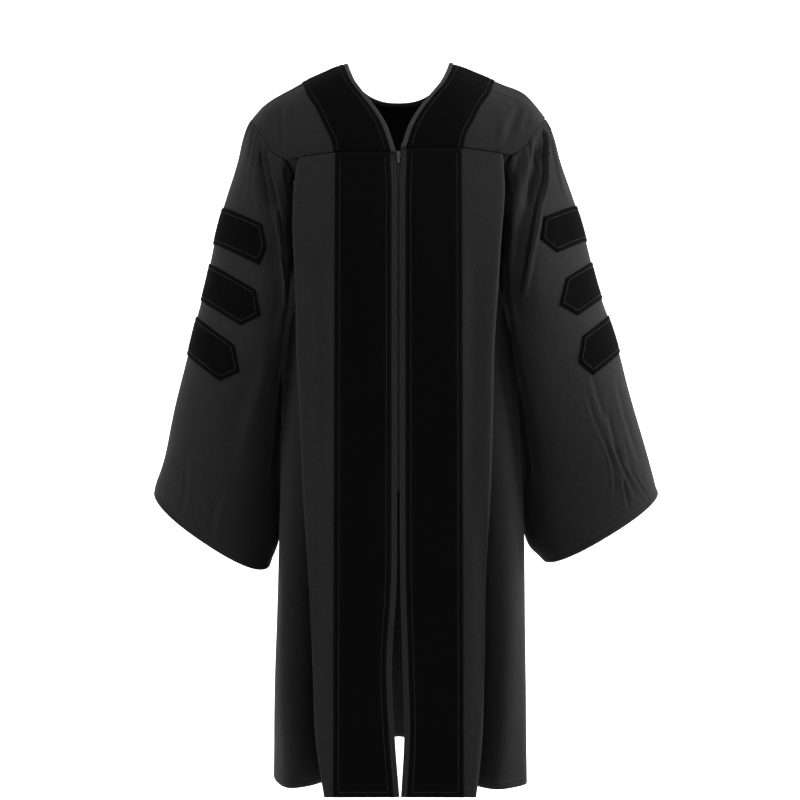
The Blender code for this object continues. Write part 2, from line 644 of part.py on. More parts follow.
def armhole_loop_point(side, angle):
    """Point of the armhole: 0 shoulder, 90 front yoke corner, 180 underarm."""
    angle = (angle + 180.0) % 360.0 - 180.0
    if 0 <= angle <= 90:
        turn = angle / 90
        return shoulder_point(side, read_table(ARMHOLE_TABLE, "turn", "x", turn), -turn)
    if -90 <= angle < 0:
        turn = -angle / 90
        x = read_table(BACK_ARMHOLE_TABLE, "turn", "x", turn)
        return shoulder_point(side, x, turn)
    share = (abs(angle) - 90) / 90
    if angle > 0:
        top = yoke_seam_height(side, YOKE_HALF_WIDTH)
        z = top + (UNDERARM_Z - top) * math.sin(share * math.pi / 2)
        edges = [front_armhole_edge(side, height) for height in front_rows(side)]
    else:
        z = -BACK_YOKE_DROP + (UNDERARM_Z + BACK_YOKE_DROP) * math.sin(share * math.pi / 2)
        edges = [back_armhole_edge(side, height) for height in back_rows()]
    edges = sorted((edge for edge in edges if edge[2] >= UNDERARM_Z), key=lambda edge: edge[2])
    heights = [edge[2] for edge in edges]
    x = float(np.interp(z, heights, [edge[0] for edge in edges]))
    y = float(np.interp(z, heights, [edge[1] for edge in edges]))
    x += UNDERARM_GAP * smooth_step(share / GAP_EASE)
    return np.array((SIDES[side] * x, y, z))


def sleeve_ring_point(side, row, angle):
    """Point of the sleeve's plain form: a drawn-in ring between two lines."""
    sizes = read_rows(SLEEVES[side], SLEEVE_NAMES, row)
    outer = np.array((sizes["outer_x"], 0.0, sizes["outer_z"]))
    inner = np.array((sizes["inner_x"], 0.0, sizes["inner_z"]))
    turn = math.radians(angle)
    across = math.copysign(abs(math.cos(turn)) ** RING_SQUARENESS, math.cos(turn))
    aside = math.copysign(abs(math.sin(turn)) ** RING_SQUARENESS, math.sin(turn))
    reach = sizes["front"] if aside > 0 else sizes["back"]
    hang = sizes["dip"] if aside > 0 else sizes["rise"]
    point = (outer + inner) / 2 + (outer - inner) / 2 * across
    point += np.array((-sizes["hollow"] * aside ** 2, -reach * aside, -hang * aside))
    return np.array((SIDES[side] * point[0], point[1], point[2]))


def fold_depth(side, row, angle, column):
    """How far the sleeve's cloth moves in or out at a place."""
    depth = 0.0
    for fold in SLEEVE_FOLDS[side]:
        sizes = dict(zip(SLEEVE_FOLD_NAMES, fold))
        along = row / sizes["end_row"]
        turned = (sizes["end_angle"] - sizes["angle"]) * along ** FOLD_BEND
        centre = sizes["angle"] + turned
        rise = smooth_step(row / FOLD_START) * (1 - smooth_step(along - FOLD_FADE))
        depth -= sizes["depth"] * rise * math.exp(-((angle - centre) / sizes["width"]) ** 2)
    if abs(angle) < GATHERED_ARC:
        fade = 1 - smooth_step(row / GATHER_END)
        start = smooth_step(row / GATHER_START)
        ripple = CAP_GATHERS if column % 2 else -CAP_GATHERS
        depth += (ripple + CAP_PUFF * smooth_step(row / PUFF_ROW)) * fade * start
    return depth


def sleeve_angles():
    """Angles of the sleeve's columns, closer over the gathered cap."""
    upper_step = 2 * GATHERED_ARC / SLEEVE_UPPER_COLUMNS
    lower_step = (360 - 2 * GATHERED_ARC) / SLEEVE_LOWER_COLUMNS
    upper = [upper_step * i - GATHERED_ARC for i in range(SLEEVE_UPPER_COLUMNS + 1)]
    lower = [GATHERED_ARC + lower_step * i for i in range(1, SLEEVE_LOWER_COLUMNS)]
    return upper + lower


def sleeve_grid(side):
    """Points of a sleeve's outer face, rings from the armhole to the cuff."""
    plain = []
    angles = sleeve_angles()
    for row in SLEEVE_ROWS:
        fit = 1 - smooth_step(row / FIT_END)
        rolled = SLEEVE_ROLL * smooth_step(row / ROLL_ROW) * fit
        line = []
        for angle in angles:
            point = sleeve_ring_point(side, row, angle)
            miss = armhole_loop_point(side, angle) - sleeve_ring_point(side, 0.0, angle)
            below = abs(180.0 - abs(180.0 - angle)) - ROLL_ANGLES[0]
            roll = SIDES[side] * rolled * smooth_step(below / ROLL_ANGLES[1])
            line.append(point + miss * fit + np.array((roll, 0.0, 0.0)))
        plain.append(line)
    plain = np.array(plain)
    normals = grid_normals(plain, SIDES[side], closed=True)
    for i, row in enumerate(SLEEVE_ROWS):
        for j, angle in enumerate(angles):
            signed = (angle + 180.0) % 360.0 - 180.0
            plain[i, j] += normals[i, j] * fold_depth(side, row, signed, j)
    step = plain[1] - plain[0]
    plain[0] += step / np.linalg.norm(step, axis=1, keepdims=True) * ARMHOLE_GAP
    return plain


def column_at(grid, place):
    """Column of a closed grid at a place between two of its columns."""
    count = grid.shape[1]
    low = int(math.floor(place))
    share = place - low
    return grid[:, low % count] * (1 - share) + grid[:, (low + 1) % count] * share


def place_on_column(column, normals, height_at):
    """Where a slanting plane cuts one column of a grid."""
    measure = [point[2] - height_at(abs(point[0])) for point in column]
    for i in range(len(column) - 1):
        if measure[i] >= 0 > measure[i + 1]:
            share = measure[i] / (measure[i] - measure[i + 1])
            point = column[i] + (column[i + 1] - column[i]) * share
            normal = normals[i] + (normals[i + 1] - normals[i]) * share
            return point, normal / np.linalg.norm(normal)
    return column[-1], normals[-1]


def bar_ends(sizes):
    """Upper corner, point and lower corner of a bar's back and front ends."""
    angle = math.radians(sizes["slope"])
    middle = sizes["back_tip"] + BAR_POINT * math.cos(angle)
    aside = BAR_WIDTH / 2 * math.sin(angle)
    back = (middle - aside, sizes["back_tip"], middle + aside)
    return back, (sizes["front_upper"], sizes["front_tip"], sizes["front_lower"])


def bar_cover(x, end):
    """Shares of the bar's height where its cloth starts and stops at a distance."""
    upper, tip, lower = end
    above = min(max((x - tip) / max(upper - tip, BAR_GAP), 0.0), 1.0)
    below = min(max((x - tip) / max(lower - tip, BAR_GAP), 0.0), 1.0)
    least = 0.5 - BAR_TIP_SHARE
    return least * (1 - above), 1 - least * (1 - below)


def bar_places(grid, normals, sizes, middle_line):
    """Columns that a bar covers, with the shares of its height that it takes there."""
    angles = sleeve_angles()
    outer = angles.index(min(angles, key=abs))

    def reach(place):
        column, column_normals = column_at(grid, place), column_at(normals, place)
        return abs(place_on_column(column, column_normals, middle_line)[0][0])

    places = []
    ends = bar_ends(sizes)
    for end, step in zip(ends, (-1, 1)):
        for target in sorted({max(place, end[1]) for place in end}):
            low, high = float(outer), float(outer + step * BAR_REACH_COLUMNS)
            for _ in range(BAR_SEARCH_STEPS):
                half = (low + high) / 2
                if reach(half) > target:
                    low = half
                else:
                    high = half
            places.append(low)
    for column in range(math.ceil(min(places)), math.floor(max(places)) + 1):
        if min(abs(column - place) for place in places) > BAR_COLUMN_MARGIN:
            places.append(float(column))
    return [
        (place, *bar_cover(reach(place), ends[0] if place < outer else ends[1]))
        for place in sorted(places)
    ]


def bar_grid(bar, grid, normals):
    """Points of a velvet bar that lies round a sleeve's outer line."""
    sizes = dict(zip(BAR_NAMES, bar))
    slope = math.tan(math.radians(sizes["slope"]))
    tall = BAR_WIDTH / math.cos(math.radians(sizes["slope"]))
    angles = sleeve_angles()
    outer = angles.index(min(angles, key=abs))
    top_point = place_on_column(grid[:, outer], normals[:, outer], lambda x: sizes["top"])[0]
    outer_x = abs(top_point[0])

    def line_below(drop):
        return lambda x: sizes["top"] - (outer_x - x) * slope - drop

    lines = []
    for place, above, below in bar_places(grid, normals, sizes, line_below(tall / 2)):
        line = []
        for k in range(BAR_SPANS + 1):
            drop = tall * (above + (below - above) * k / BAR_SPANS)
            column = column_at(grid, place)
            point, normal = place_on_column(column, column_at(normals, place), line_below(drop))
            line.append(point + normal * BAR_GAP)
        lines.append(line)
    return np.array(lines)


def zip_tape_grid(side, panel):
    """Strip behind the panel's front edge, from the yoke seam to the zip's end."""
    lines = []
    heights = [row[0][2] for row in panel[1:] if row[0][2] > ZIP_END_Z]
    for z in [TAPE_TOP_Z] + heights + [ZIP_END_Z]:
        row = section_points(side, z)[0]
        line = []
        for x in TAPE_X:
            y = panel_front_y(row, x) + CLOTH + TAPE_GAP
            line.append((SIDES[side] * x, y, z))
        lines.append(line)
    return np.array(lines)


def make_box(name, size, centre):
    """A box from a cube primitive, at a place."""
    mesh = bpy.data.meshes.new(name)
    shape = bmesh.new()
    bmesh.ops.create_cube(shape, size=1.0)
    bmesh.ops.scale(shape, vec=size, verts=shape.verts)
    bmesh.ops.translate(shape, vec=centre, verts=shape.verts)
    shape.to_mesh(mesh)
    shape.free()
    return mesh


def add_cutter(name, size, centre):
    """A hidden box for a Boolean."""
    mesh = make_box(name, size, centre)
    cutter = bpy.data.objects.new(name, mesh)
    bpy.data.collections[COLLECTION_NAME + "_cutters"].objects.link(cutter)
    cutter.hide_render = True
    cutter.display_type = "WIRE"
    return cutter


def join_boxes(piece, other, operation):
    """Join a hidden box to a piece, or cut it out."""
    boolean = piece.modifiers.new(operation.title(), "BOOLEAN")
    boolean.operation = operation
    boolean.object = other
    boolean.solver = "EXACT"


def build_zip_pull():
    """Slider with its bridge, and the pull tab that hangs from the bridge."""
    tape_front = panel_front_y(section_points("left", SLIDER_Z)[0], 0.0) + CLOTH + TAPE_GAP
    body_y = tape_front - SLIDER_GAP - SLIDER_SIZE[1] / 2
    body_front = body_y - SLIDER_SIZE[1] / 2
    mesh = make_box("zip_slider", SLIDER_SIZE, (0.0, body_y, SLIDER_Z))
    slider = place_object(mesh, "zip_slider", ZIP_METAL)
    bridge_y = body_front - BRIDGE_SIZE[1] / 2 + BRIDGE_SINK
    window_y = body_front - BRIDGE_WINDOW[1] / 2
    hinge = (0.0, window_y, SLIDER_Z + BRIDGE_RISE)
    bridge = add_cutter("bridge_block", BRIDGE_SIZE, (0.0, bridge_y, hinge[2]))
    join_boxes(slider, bridge, "UNION")
    window = add_cutter("bridge_window", BRIDGE_WINDOW, hinge)
    join_boxes(slider, window, "DIFFERENCE")
    tab_centre_z = hinge[2] + TAB_BAR / 2 - TAB_SIZE[2] / 2
    mesh = make_box("zip_pull_tab", TAB_SIZE, (0.0, window_y, tab_centre_z))
    mesh.transform(Matrix.Translation((0.0, -hinge[1], -hinge[2])))
    tab = place_object(mesh, "zip_pull_tab", ZIP_METAL)
    tab.location = hinge
    hole_z = hinge[2] - TAB_BAR / 2 - TAB_WINDOW[2] / 2
    hole = add_cutter("tab_window", TAB_WINDOW, (0.0, window_y, hole_z))
    join_boxes(tab, hole, "DIFFERENCE")


def build_front(side):
    """Front panel, its velvet facing and the zip tape behind its edge."""
    panel = front_grid(side)
    facing_out = -SIDES[side]
    normals = grid_normals(panel, facing_out)
    cloth_wall(f"front_panel_{side}", panel, BLACK_CLOTH, CLOTH, facing_out)
    facing = slice(1, FRONT_COLUMNS_TO_VELVET + 2)
    velvet = panel[:, facing] + normals[:, facing] * LAY_GAP
    cloth_wall(f"velvet_front_{side}", velvet, BLACK_VELVET, VELVET, facing_out, grows_out=True)
    tape = zip_tape_grid(side, panel)
    cloth_wall(f"zip_tape_{side}", tape, ZIP_TAPE, TAPE, facing_out)


def build_front_yoke(side):
    """Front yoke, its velvet facing and the binding of the neckline."""
    yoke = front_yoke_grid(side)
    facing_out = -SIDES[side]
    normals = grid_normals(yoke, facing_out)
    cloth_wall(f"front_yoke_{side}", yoke, BLACK_CLOTH, CLOTH, facing_out)
    facing = slice(0, YOKE_COLUMNS_IN_VELVET + 1)
    velvet = yoke[:, facing] + normals[:, facing] * LAY_GAP
    cloth_wall(f"velvet_yoke_{side}", velvet, BLACK_VELVET, VELVET, facing_out, grows_out=True)
    lines = []
    for turn in front_turns(side):
        neck, velvet_edge, _ = front_edges(turn)
        lines.append(binding_line(side, neck, velvet_edge))
    binding = np.array(lines)
    binding += grid_normals(binding, facing_out) * BINDING_LIFT
    cloth_wall(f"neck_binding_{side}", binding, BLACK_CLOTH, BINDING, facing_out)


def build_back():
    """Back yoke, its velvet band and binding, and the fluted back panel."""
    yoke = back_yoke_grid()
    normals = grid_normals(yoke, -1)
    cloth_wall("back_yoke", yoke, BLACK_CLOTH, CLOTH, -1)
    facing = slice(0, YOKE_COLUMNS_IN_VELVET + 1)
    velvet = yoke[:, facing] + normals[:, facing] * LAY_GAP
    cloth_wall("velvet_back_neck", velvet, BLACK_VELVET, VELVET, -1, grows_out=True)
    lines = []
    for side, shares in (("right", BACK_SHARES), ("left", BACK_SHARES[-2::-1])):
        for share in shares:
            neck, velvet_edge, _ = back_line(side, share)
            lines.append(binding_line(side, neck, velvet_edge))
    binding = np.array(lines)
    for line, towards in ((0, 1), (-1, -2)):
        step = binding[towards] - binding[line]
        binding[line] += step / np.linalg.norm(step, axis=1, keepdims=True) * SEAM_GAP
    binding += grid_normals(binding, -1) * BINDING_LIFT
    cloth_wall("neck_binding_back", binding, BLACK_CLOTH, BINDING, -1)
    cloth_wall("back_panel", back_grid(), BLACK_CLOTH, CLOTH, 1)


def build_sleeve(side):
    """Sleeve with its three velvet bars."""
    grid = sleeve_grid(side)
    normals = grid_normals(grid, SIDES[side], closed=True)
    cloth_wall(f"sleeve_{side}", grid, BLACK_CLOTH, CLOTH, SIDES[side], closed=True)
    for number, bar in enumerate(BARS[side], start=1):
        points = bar_grid(bar, grid, normals)
        name = f"sleeve_bar_{side}_{number}"
        cloth_wall(name, points, BLACK_VELVET, VELVET, -SIDES[side], grows_out=True)


def main():
    """Clear the scene and build the gown piece by piece."""
    for old in list(bpy.data.objects):
        bpy.data.objects.remove(old, do_unlink=True)
    for name in (COLLECTION_NAME, COLLECTION_NAME + "_cutters"):
        collection = bpy.data.collections.new(name)
        bpy.context.scene.collection.children.link(collection)
    for side in SIDES:
        build_front(side)
        build_front_yoke(side)
        build_sleeve(side)
    build_back()
    build_zip_pull()


main()
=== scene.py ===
"""Doctoral graduation gown, worn and filled out with no wearer: its looks.

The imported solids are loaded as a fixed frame. Each piece of cloth is built
again here on the form of its solid, through the same named sections but far
finer, and gets its creases, gathers, hems, stitching and finish. Metres, +Z
up, the front faces -Y. Right and left are the wearer's, so the right side
lies at -X.
"""
from __future__ import annotations

import logging
import math
from dataclasses import dataclass, replace
from enum import Enum
from typing import Callable, Mapping, Optional, Sequence

import bmesh
import bpy
import numpy as np
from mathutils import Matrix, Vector

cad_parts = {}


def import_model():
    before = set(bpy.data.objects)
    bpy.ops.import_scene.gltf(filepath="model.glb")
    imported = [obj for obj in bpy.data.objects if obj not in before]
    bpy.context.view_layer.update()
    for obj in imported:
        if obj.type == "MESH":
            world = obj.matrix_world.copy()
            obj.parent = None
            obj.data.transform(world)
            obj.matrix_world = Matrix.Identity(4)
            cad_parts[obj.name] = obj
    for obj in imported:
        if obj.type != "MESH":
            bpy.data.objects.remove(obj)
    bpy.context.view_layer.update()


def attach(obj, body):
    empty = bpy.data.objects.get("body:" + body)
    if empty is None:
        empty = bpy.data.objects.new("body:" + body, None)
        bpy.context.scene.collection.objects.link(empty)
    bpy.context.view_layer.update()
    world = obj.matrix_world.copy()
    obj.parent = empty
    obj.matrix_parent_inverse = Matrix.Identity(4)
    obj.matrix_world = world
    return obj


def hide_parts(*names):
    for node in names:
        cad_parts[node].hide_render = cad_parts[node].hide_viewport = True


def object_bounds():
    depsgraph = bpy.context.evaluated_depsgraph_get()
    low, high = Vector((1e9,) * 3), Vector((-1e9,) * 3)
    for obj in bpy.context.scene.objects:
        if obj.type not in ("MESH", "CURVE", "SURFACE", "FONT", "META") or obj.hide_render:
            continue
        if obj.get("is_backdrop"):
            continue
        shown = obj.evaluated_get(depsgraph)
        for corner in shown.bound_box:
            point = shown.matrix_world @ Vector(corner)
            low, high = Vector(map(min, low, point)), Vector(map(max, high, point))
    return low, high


LOG = logging.getLogger("gown")
Pair = tuple[float, float]
Row = tuple[float, ...]

GOWN_BODY = "gown"
TAB_BODY = "pull_tab"
# The narrowest width and length worked out for a sheet's cut
NARROWEST_CUT = 0.011
# Beyond and before an edge, the points that keep its bend into the allowance sharp
SEAM_STEP = 0.0003
SEAM_HOLD = 0.0010
# Bands of the wave texture over one unit at scale 1
WAVE_BANDS = 20 / math.tau
# A crease: straight pieces of its line, shares over which it fades at its ends,
# and how many widths beside the trough its ridge lies
CREASE_SPANS = 10
CREASE_FADES: Pair = (0.25, 0.35)
RIDGE_PLACE = 1.7


class Side(Enum):
    """Side of the wearer, with its direction along X."""

    RIGHT = -1.0
    LEFT = 1.0

    @property
    def word(self) -> str:
        """The side's name in the names of pieces and tables."""
        return self.name.lower()


class Hold(Enum):
    """How a sheet of cloth is held."""

    HUNG = "hung"
    GATHERED = "gathered"
    LAID = "laid"
    FOLDED = "folded"


class Edge(Enum):
    """Edge of a sheet of cloth."""

    TOP = "top"
    HEM = "hem"
    FIRST = "first column"
    LAST = "last column"


# Helpers for numbers


def curve(share: float, gap: float, ends: np.ndarray, slopes: np.ndarray) -> float | np.ndarray:
    """Point on a cubic curve between two places.

    Args:
        share: 0 at the first place to 1 at the second.
        gap: Distance between them.
        ends: Number or points at each.
        slopes: Slope at each.

    Returns:
        Number or points there.
    """
    rest = 1 - share
    value = (1 + 2 * share) * rest**2 * ends[0] + share * rest**2 * gap * slopes[0]
    return value + share**2 * (3 - 2 * share) * ends[1] - share**2 * rest * gap * slopes[1]


def smooth_value(places: Sequence[float], values: Sequence[float], at: float) -> float:
    """Read a table of rising places with a monotone cubic curve.

    Args:
        places: Rising places of the table.
        values: Value at each place.
        at: Place to read, held inside the table.

    Returns:
        The value on the curve.
    """
    spots = np.asarray(places, dtype=float)
    heights = np.asarray(values, dtype=float)
    steps = np.diff(spots)
    slopes = np.diff(heights) / steps
    tangents = np.zeros(len(spots))
    for i in range(1, len(spots) - 1):
        if slopes[i - 1] * slopes[i] > 0:
            before = 2 * steps[i] + steps[i - 1]
            after = steps[i] + 2 * steps[i - 1]
            tangents[i] = (before + after) / (before / slopes[i - 1] + after / slopes[i])
    tangents[0] = slopes[0]
    tangents[-1] = slopes[-1]
    at = min(max(at, spots[0]), spots[-1])
    i = min(int(np.searchsorted(spots, at, side="right")) - 1, len(steps) - 1)
    return float(curve((at - spots[i]) / steps[i], steps[i], heights[i : i + 2], tangents[i : i + 2]))


def eased(shares: np.ndarray | float) -> np.ndarray | float:
    """Ease from 0 to 1.

    Args:
        shares: Any numbers, held between 0 and 1.

    Returns:
        The eased shares.
    """
    held = np.clip(shares, 0.0, 1.0)
    return held * held * (3 - 2 * held)


def faded(places: np.ndarray, whole: np.ndarray | float, reaches: Pair) -> np.ndarray:
    """Ease from 0 at both ends of a sheet to 1 between them.

    Args:
        places: Place of each point, from 0.
        whole: Place of the last point.
        reaches: How far the easing reaches from the first and from the last point.

    Returns:
        Share for each point.
    """
    return eased(places / reaches[0]) * eased((whole - places) / reaches[1])


def read_row(rows: Sequence[Row], names: Sequence[str], at: float) -> dict[str, float]:
    """Read every column of a table of rows by its first column.

    Args:
        rows: The table.
        names: Name of each column.
        at: Value of the first column to read at.

    Returns:
        Each column's value by name.
    """
    ordered = sorted(rows)
    keys = [row[0] for row in ordered]
    return {name: smooth_value(keys, [row[i] for row in ordered], at) for i, name in enumerate(names)}


def bezier(points: Sequence[np.ndarray], share: float) -> np.ndarray:
    """Point on a Bezier curve of any degree.

    Args:
        points: Control points.
        share: Place on the curve, 0 to 1.

    Returns:
        The point.
    """
    left = [np.asarray(point, dtype=float) for point in points]
    while len(left) > 1:
        left = [a + (b - a) * share for a, b in zip(left[:-1], left[1:])]
    return left[0]


def refine_lines(
    lines: np.ndarray, labels: np.ndarray, step: float, closed: bool
) -> tuple[np.ndarray, np.ndarray]:
    """Add lines between the lines of a grid, on smooth curves through them.

    Args:
        lines: Lines of points, one behind the other along the first axis.
        labels: Label of each line.
        step: Distance wanted between lines.
        closed: Whether the last line is followed by the first one.

    Returns:
        The finer lines and their labels.
    """
    count = len(lines)
    if closed:
        lines = np.concatenate([lines[-1:], lines, lines[:2]])
        turn = 360.0
        labels = np.concatenate([labels[-1:] - turn, labels, labels[:2] + turn])
    gaps = np.linalg.norm(np.diff(lines, axis=0), axis=2).mean(axis=1)
    gaps = np.maximum(gaps, 1e-6)
    slopes = np.diff(lines, axis=0) / gaps[:, None, None]
    tangents = np.empty_like(lines)
    tangents[0] = slopes[0]
    tangents[-1] = slopes[-1]
    before, after = gaps[:-1, None, None], gaps[1:, None, None]
    tangents[1:-1] = (slopes[:-1] * after + slopes[1:] * before) / (before + after)
    spans = range(1, count + 1) if closed else range(count - 1)
    finer, places = [], []
    for i in spans:
        pieces = max(1, round(float(gaps[i]) / step))
        for k in range(pieces):
            finer.append(curve(k / pieces, gaps[i], lines[i : i + 2], tangents[i : i + 2]))
            places.append(labels[i] + (labels[i + 1] - labels[i]) * k / pieces)
    if not closed:
        finer.append(lines[-1])
        places.append(labels[-1])
    return np.array(finer), np.array(places)


# Sheets of cloth


@dataclass(frozen=True)
class Allowance:
    """A seam allowance that turns in beyond one edge, under the next piece.

    reach is its length, dive the degrees at which it leans in from the sheet's
    own direction, and sink how far it starts below the sheet's outer face.
    """

    edge: Edge
    reach: float
    dive: float
    sink: float = 0.0017


@dataclass(frozen=True)
class ClothGrid:
    """A sheet of cloth as rows of points, with a label for each row and column.

    facing is 1 where columns times rows point away from the wearer, else -1.
    """

    points: np.ndarray
    across: np.ndarray
    down: np.ndarray
    facing: float
    closed: bool = False

    def refine(self, step_across: float, step_down: float) -> ClothGrid:
        """Make the grid finer, on smooth curves through its points.

        Args:
            step_across: Distance wanted between columns.
            step_down: Distance wanted between rows.

        Returns:
            The finer grid.
        """
        turned = self.points.transpose(1, 0, 2)
        columns, across = refine_lines(turned, self.across, step_across, self.closed)
        rows, down = refine_lines(columns.transpose(1, 0, 2), self.down, step_down, False)
        return ClothGrid(rows, across, down, self.facing, self.closed)

    def normals(self) -> np.ndarray:
        """Unit normals that point away from the wearer."""
        if self.closed:
            along = np.roll(self.points, -1, axis=1) - np.roll(self.points, 1, axis=1)
        else:
            along = np.gradient(self.points, axis=1)
        normals = self.facing * np.cross(along, np.gradient(self.points, axis=0))
        length = np.linalg.norm(normals, axis=2, keepdims=True)
        return normals / np.maximum(length, 1e-12)

    def push(self, heights: np.ndarray | float) -> ClothGrid:
        """Move each point out along its normal.

        Args:
            heights: How far, for the whole grid or for each point.

        Returns:
            The moved grid.
        """
        lift = np.broadcast_to(np.asarray(heights, dtype=float), self.points.shape[:2])
        return replace(self, points=self.points + self.normals() * lift[:, :, None])

    def columns(self, first: float, last: float) -> ClothGrid:
        """The columns whose labels lie between two labels.

        Args:
            first: Lowest label kept.
            last: Highest label kept.

        Returns:
            The narrower grid.
        """
        kept = (self.across >= first - 1e-6) & (self.across <= last + 1e-6)
        return ClothGrid(self.points[:, kept], self.across[kept], self.down, self.facing)

    def tucked(self, allowance: Allowance) -> ClothGrid:
        """The longer sheet with a seam allowance."""
        edge = allowance.edge
        sideways = edge in (Edge.FIRST, Edge.LAST)
        points, normals = self.points, self.normals()
        labels = self.across if sideways else self.down
        if sideways:
            points, normals = points.transpose(1, 0, 2), normals.transpose(1, 0, 2)
        step = -1 if edge in (Edge.LAST, Edge.HEM) else 1
        points, normals, labels = points[::step], normals[::step], labels[::step]
        out = points[0] - points[1]
        length = np.linalg.norm(out, axis=1, keepdims=True)
        out = out / np.maximum(length, 1e-9)
        turn = math.radians(allowance.dive)
        start = points[0] + out * SEAM_STEP - normals[0] * allowance.sink
        end = start + (out * math.cos(turn) - normals[0] * math.sin(turn)) * allowance.reach
        hold = points[0] - out * np.minimum(SEAM_HOLD, length / 2)
        lines = np.concatenate([[end, start, points[0], hold], points[1:]])[::step]
        places = np.concatenate([np.full(4, labels[0]), labels[1:]])[::step]
        if sideways:
            return replace(self, points=lines.transpose(1, 0, 2), across=places)
        return replace(self, points=lines, down=places)

    def widths(self) -> np.ndarray:
        """Distance of each point from its row's first point, along the cloth."""
        steps = np.linalg.norm(np.diff(self.points, axis=1), axis=2)
        return np.concatenate([np.zeros((len(self.points), 1)), np.cumsum(steps, axis=1)], axis=1)

    def lengths(self) -> np.ndarray:
        """Distance of each point from its column's first point, along the cloth."""
        steps = np.linalg.norm(np.diff(self.points, axis=0), axis=2)
        return np.concatenate([np.zeros((1, self.points.shape[1])), np.cumsum(steps, axis=0)])

    def cut(self) -> tuple[float, float, float]:
        """Width, length and area of the flat piece that the sheet was cut from."""
        ring = self.points
        if self.closed:
            ring = np.concatenate([ring, ring[:, :1]], axis=1)
        whole = ClothGrid(ring, self.across, self.down, self.facing)
        width = float(whole.widths()[:, -1].max())
        length = float(whole.lengths()[-1].max())
        a = np.cross(ring[1:, :-1] - ring[:-1, :-1], ring[:-1, 1:] - ring[:-1, :-1])
        b = np.cross(ring[1:, :-1] - ring[1:, 1:], ring[:-1, 1:] - ring[1:, 1:])
        area = 0.5 * float(np.linalg.norm(a, axis=2).sum() + np.linalg.norm(b, axis=2).sum())
        return width, length, area


@dataclass(frozen=True)
class Crease:
    """A soft trough on a sheet along a bent line, or a ridge where depth is below 0.

    Places are (across, down) labels of the sheet. ridge is the share of the
    depth that the cloth rises beside the trough, on its outer side.
    """

    start: Pair
    middle: Pair
    end: Pair
    depth: float
    width: float
    ridge: float = 0.4

    def heights(self, across: np.ndarray, down: np.ndarray, scale: Pair) -> np.ndarray:
        """How far the crease moves each point out or in.

        Args:
            across: Label across of each point.
            down: Label down of each point.
            scale: Metres for a step of 1 in each label.

        Returns:
            Movement outward in metres.
        """
        u, v = across * scale[0], down * scale[1]
        controls = [np.array(place) * np.array(scale) for place in (self.start, self.middle, self.end)]
        path = [bezier(controls, i / CREASE_SPANS) for i in range(CREASE_SPANS + 1)]
        best = np.full(u.shape, np.inf)
        side = np.zeros(u.shape)
        along = np.zeros(u.shape)
        for i, ((ax, ay), (bx, by)) in enumerate(zip(path, path[1:])):
            dx, dy = bx - ax, by - ay
            size = math.hypot(dx, dy)
            t = np.clip(((u - ax) * dx + (v - ay) * dy) / size**2, 0.0, 1.0)
            away = np.hypot(u - ax - t * dx, v - ay - t * dy)
            near = away < best
            best = np.where(near, away, best)
            side = np.where(near, np.sign((u - ax) * dy - (v - ay) * dx), side)
            along = np.where(near, (i + t) / CREASE_SPANS, along)
        signed = best * side
        trough = np.exp(-((signed / self.width) ** 2))
        bank = np.exp(-(((signed - RIDGE_PLACE * self.width) / self.width) ** 2))
        return self.depth * faded(along, 1.0, CREASE_FADES) * (self.ridge * bank - trough)


def crease_heights(
    creases: Sequence[Crease], across: np.ndarray, down: np.ndarray, scale: Pair = (1.0, 1.0)
) -> np.ndarray:
    """Sum of what a table of creases does to a sheet.

    Args:
        creases: The table.
        across: Label across of each point.
        down: Label down of each point.
        scale: Metres for a step of 1 in each label.

    Returns:
        Movement outward of each point.
    """
    heights = np.zeros(across.shape)
    for crease in creases:
        heights += crease.heights(across, down, scale)
    return heights


def soft_waves(u: np.ndarray, v: np.ndarray, size: float, seed: int) -> np.ndarray:
    """Slow, uneven waves between about -1 and 1, the same on every run.

    Args:
        u: Place across in metres.
        v: Place down in metres.
        size: Usual distance between waves in metres.
        seed: Number that picks the waves.

    Returns:
        The height of the waves at each place.
    """
    picks = np.random.default_rng(seed)
    total = np.zeros(np.broadcast(u, v).shape)
    count = 7
    for _ in range(count):
        angle = picks.uniform(0.0, math.pi)
        turn = 2 * math.pi / (size * picks.uniform(0.7, 1.6))
        shift = picks.uniform(0.0, 2 * math.pi)
        total += np.sin((u * math.cos(angle) + v * math.sin(angle)) * turn + shift)
    return total / math.sqrt(count * 2)


# The gown's form: the same named sections as its solids


SECTION_NAMES = (
    "z", "depth", "fold_x", "fold_y", "tuck_x", "tuck_y", "flute_x", "flute_y",
    "edge_x", "edge_y", "seam_x", "seam_y",
)
SLEEVE_NAMES = (
    "row", "outer_x", "outer_z", "inner_x", "inner_z", "front", "back", "hollow", "dip", "rise",
)
FOLD_NAMES = ("row", "angle", "end_row", "end_angle", "depth", "width")
BAR_NAMES = ("top", "slope", "front_upper", "front_tip", "front_lower", "back_tip")
RIDGE_TABLE: Mapping[str, Row] = {
    "x": (0.000, 0.095, 0.140, 0.181, 0.205, 0.222, 0.240, 0.251, 0.262, 0.275),
    "right": (0.000, 0.000, -0.016, -0.035, -0.0485, -0.0575, -0.068, -0.0755, -0.088, -0.1025),
    "left": (0.000, 0.000, -0.015, -0.0325, -0.0425, -0.0487, -0.0595, -0.0705, -0.086, -0.102),
}
NECKLINE_TABLE: Mapping[str, Row] = {
    "turn": (0.00, 0.20, 0.36, 0.50, 0.62, 0.725, 0.83, 0.925, 1.00),
    "x": (0.095, 0.088, 0.078, 0.061, 0.0435, 0.029, 0.017, 0.010, 0.0045),
}
ARMHOLE_TABLE: Mapping[str, Row] = {
    "turn": (0.00, 0.30, 0.48, 0.70, 0.87, 0.94, 1.00),
    "x": (0.275, 0.268, 0.260, 0.246, 0.231, 0.2185, 0.200),
}
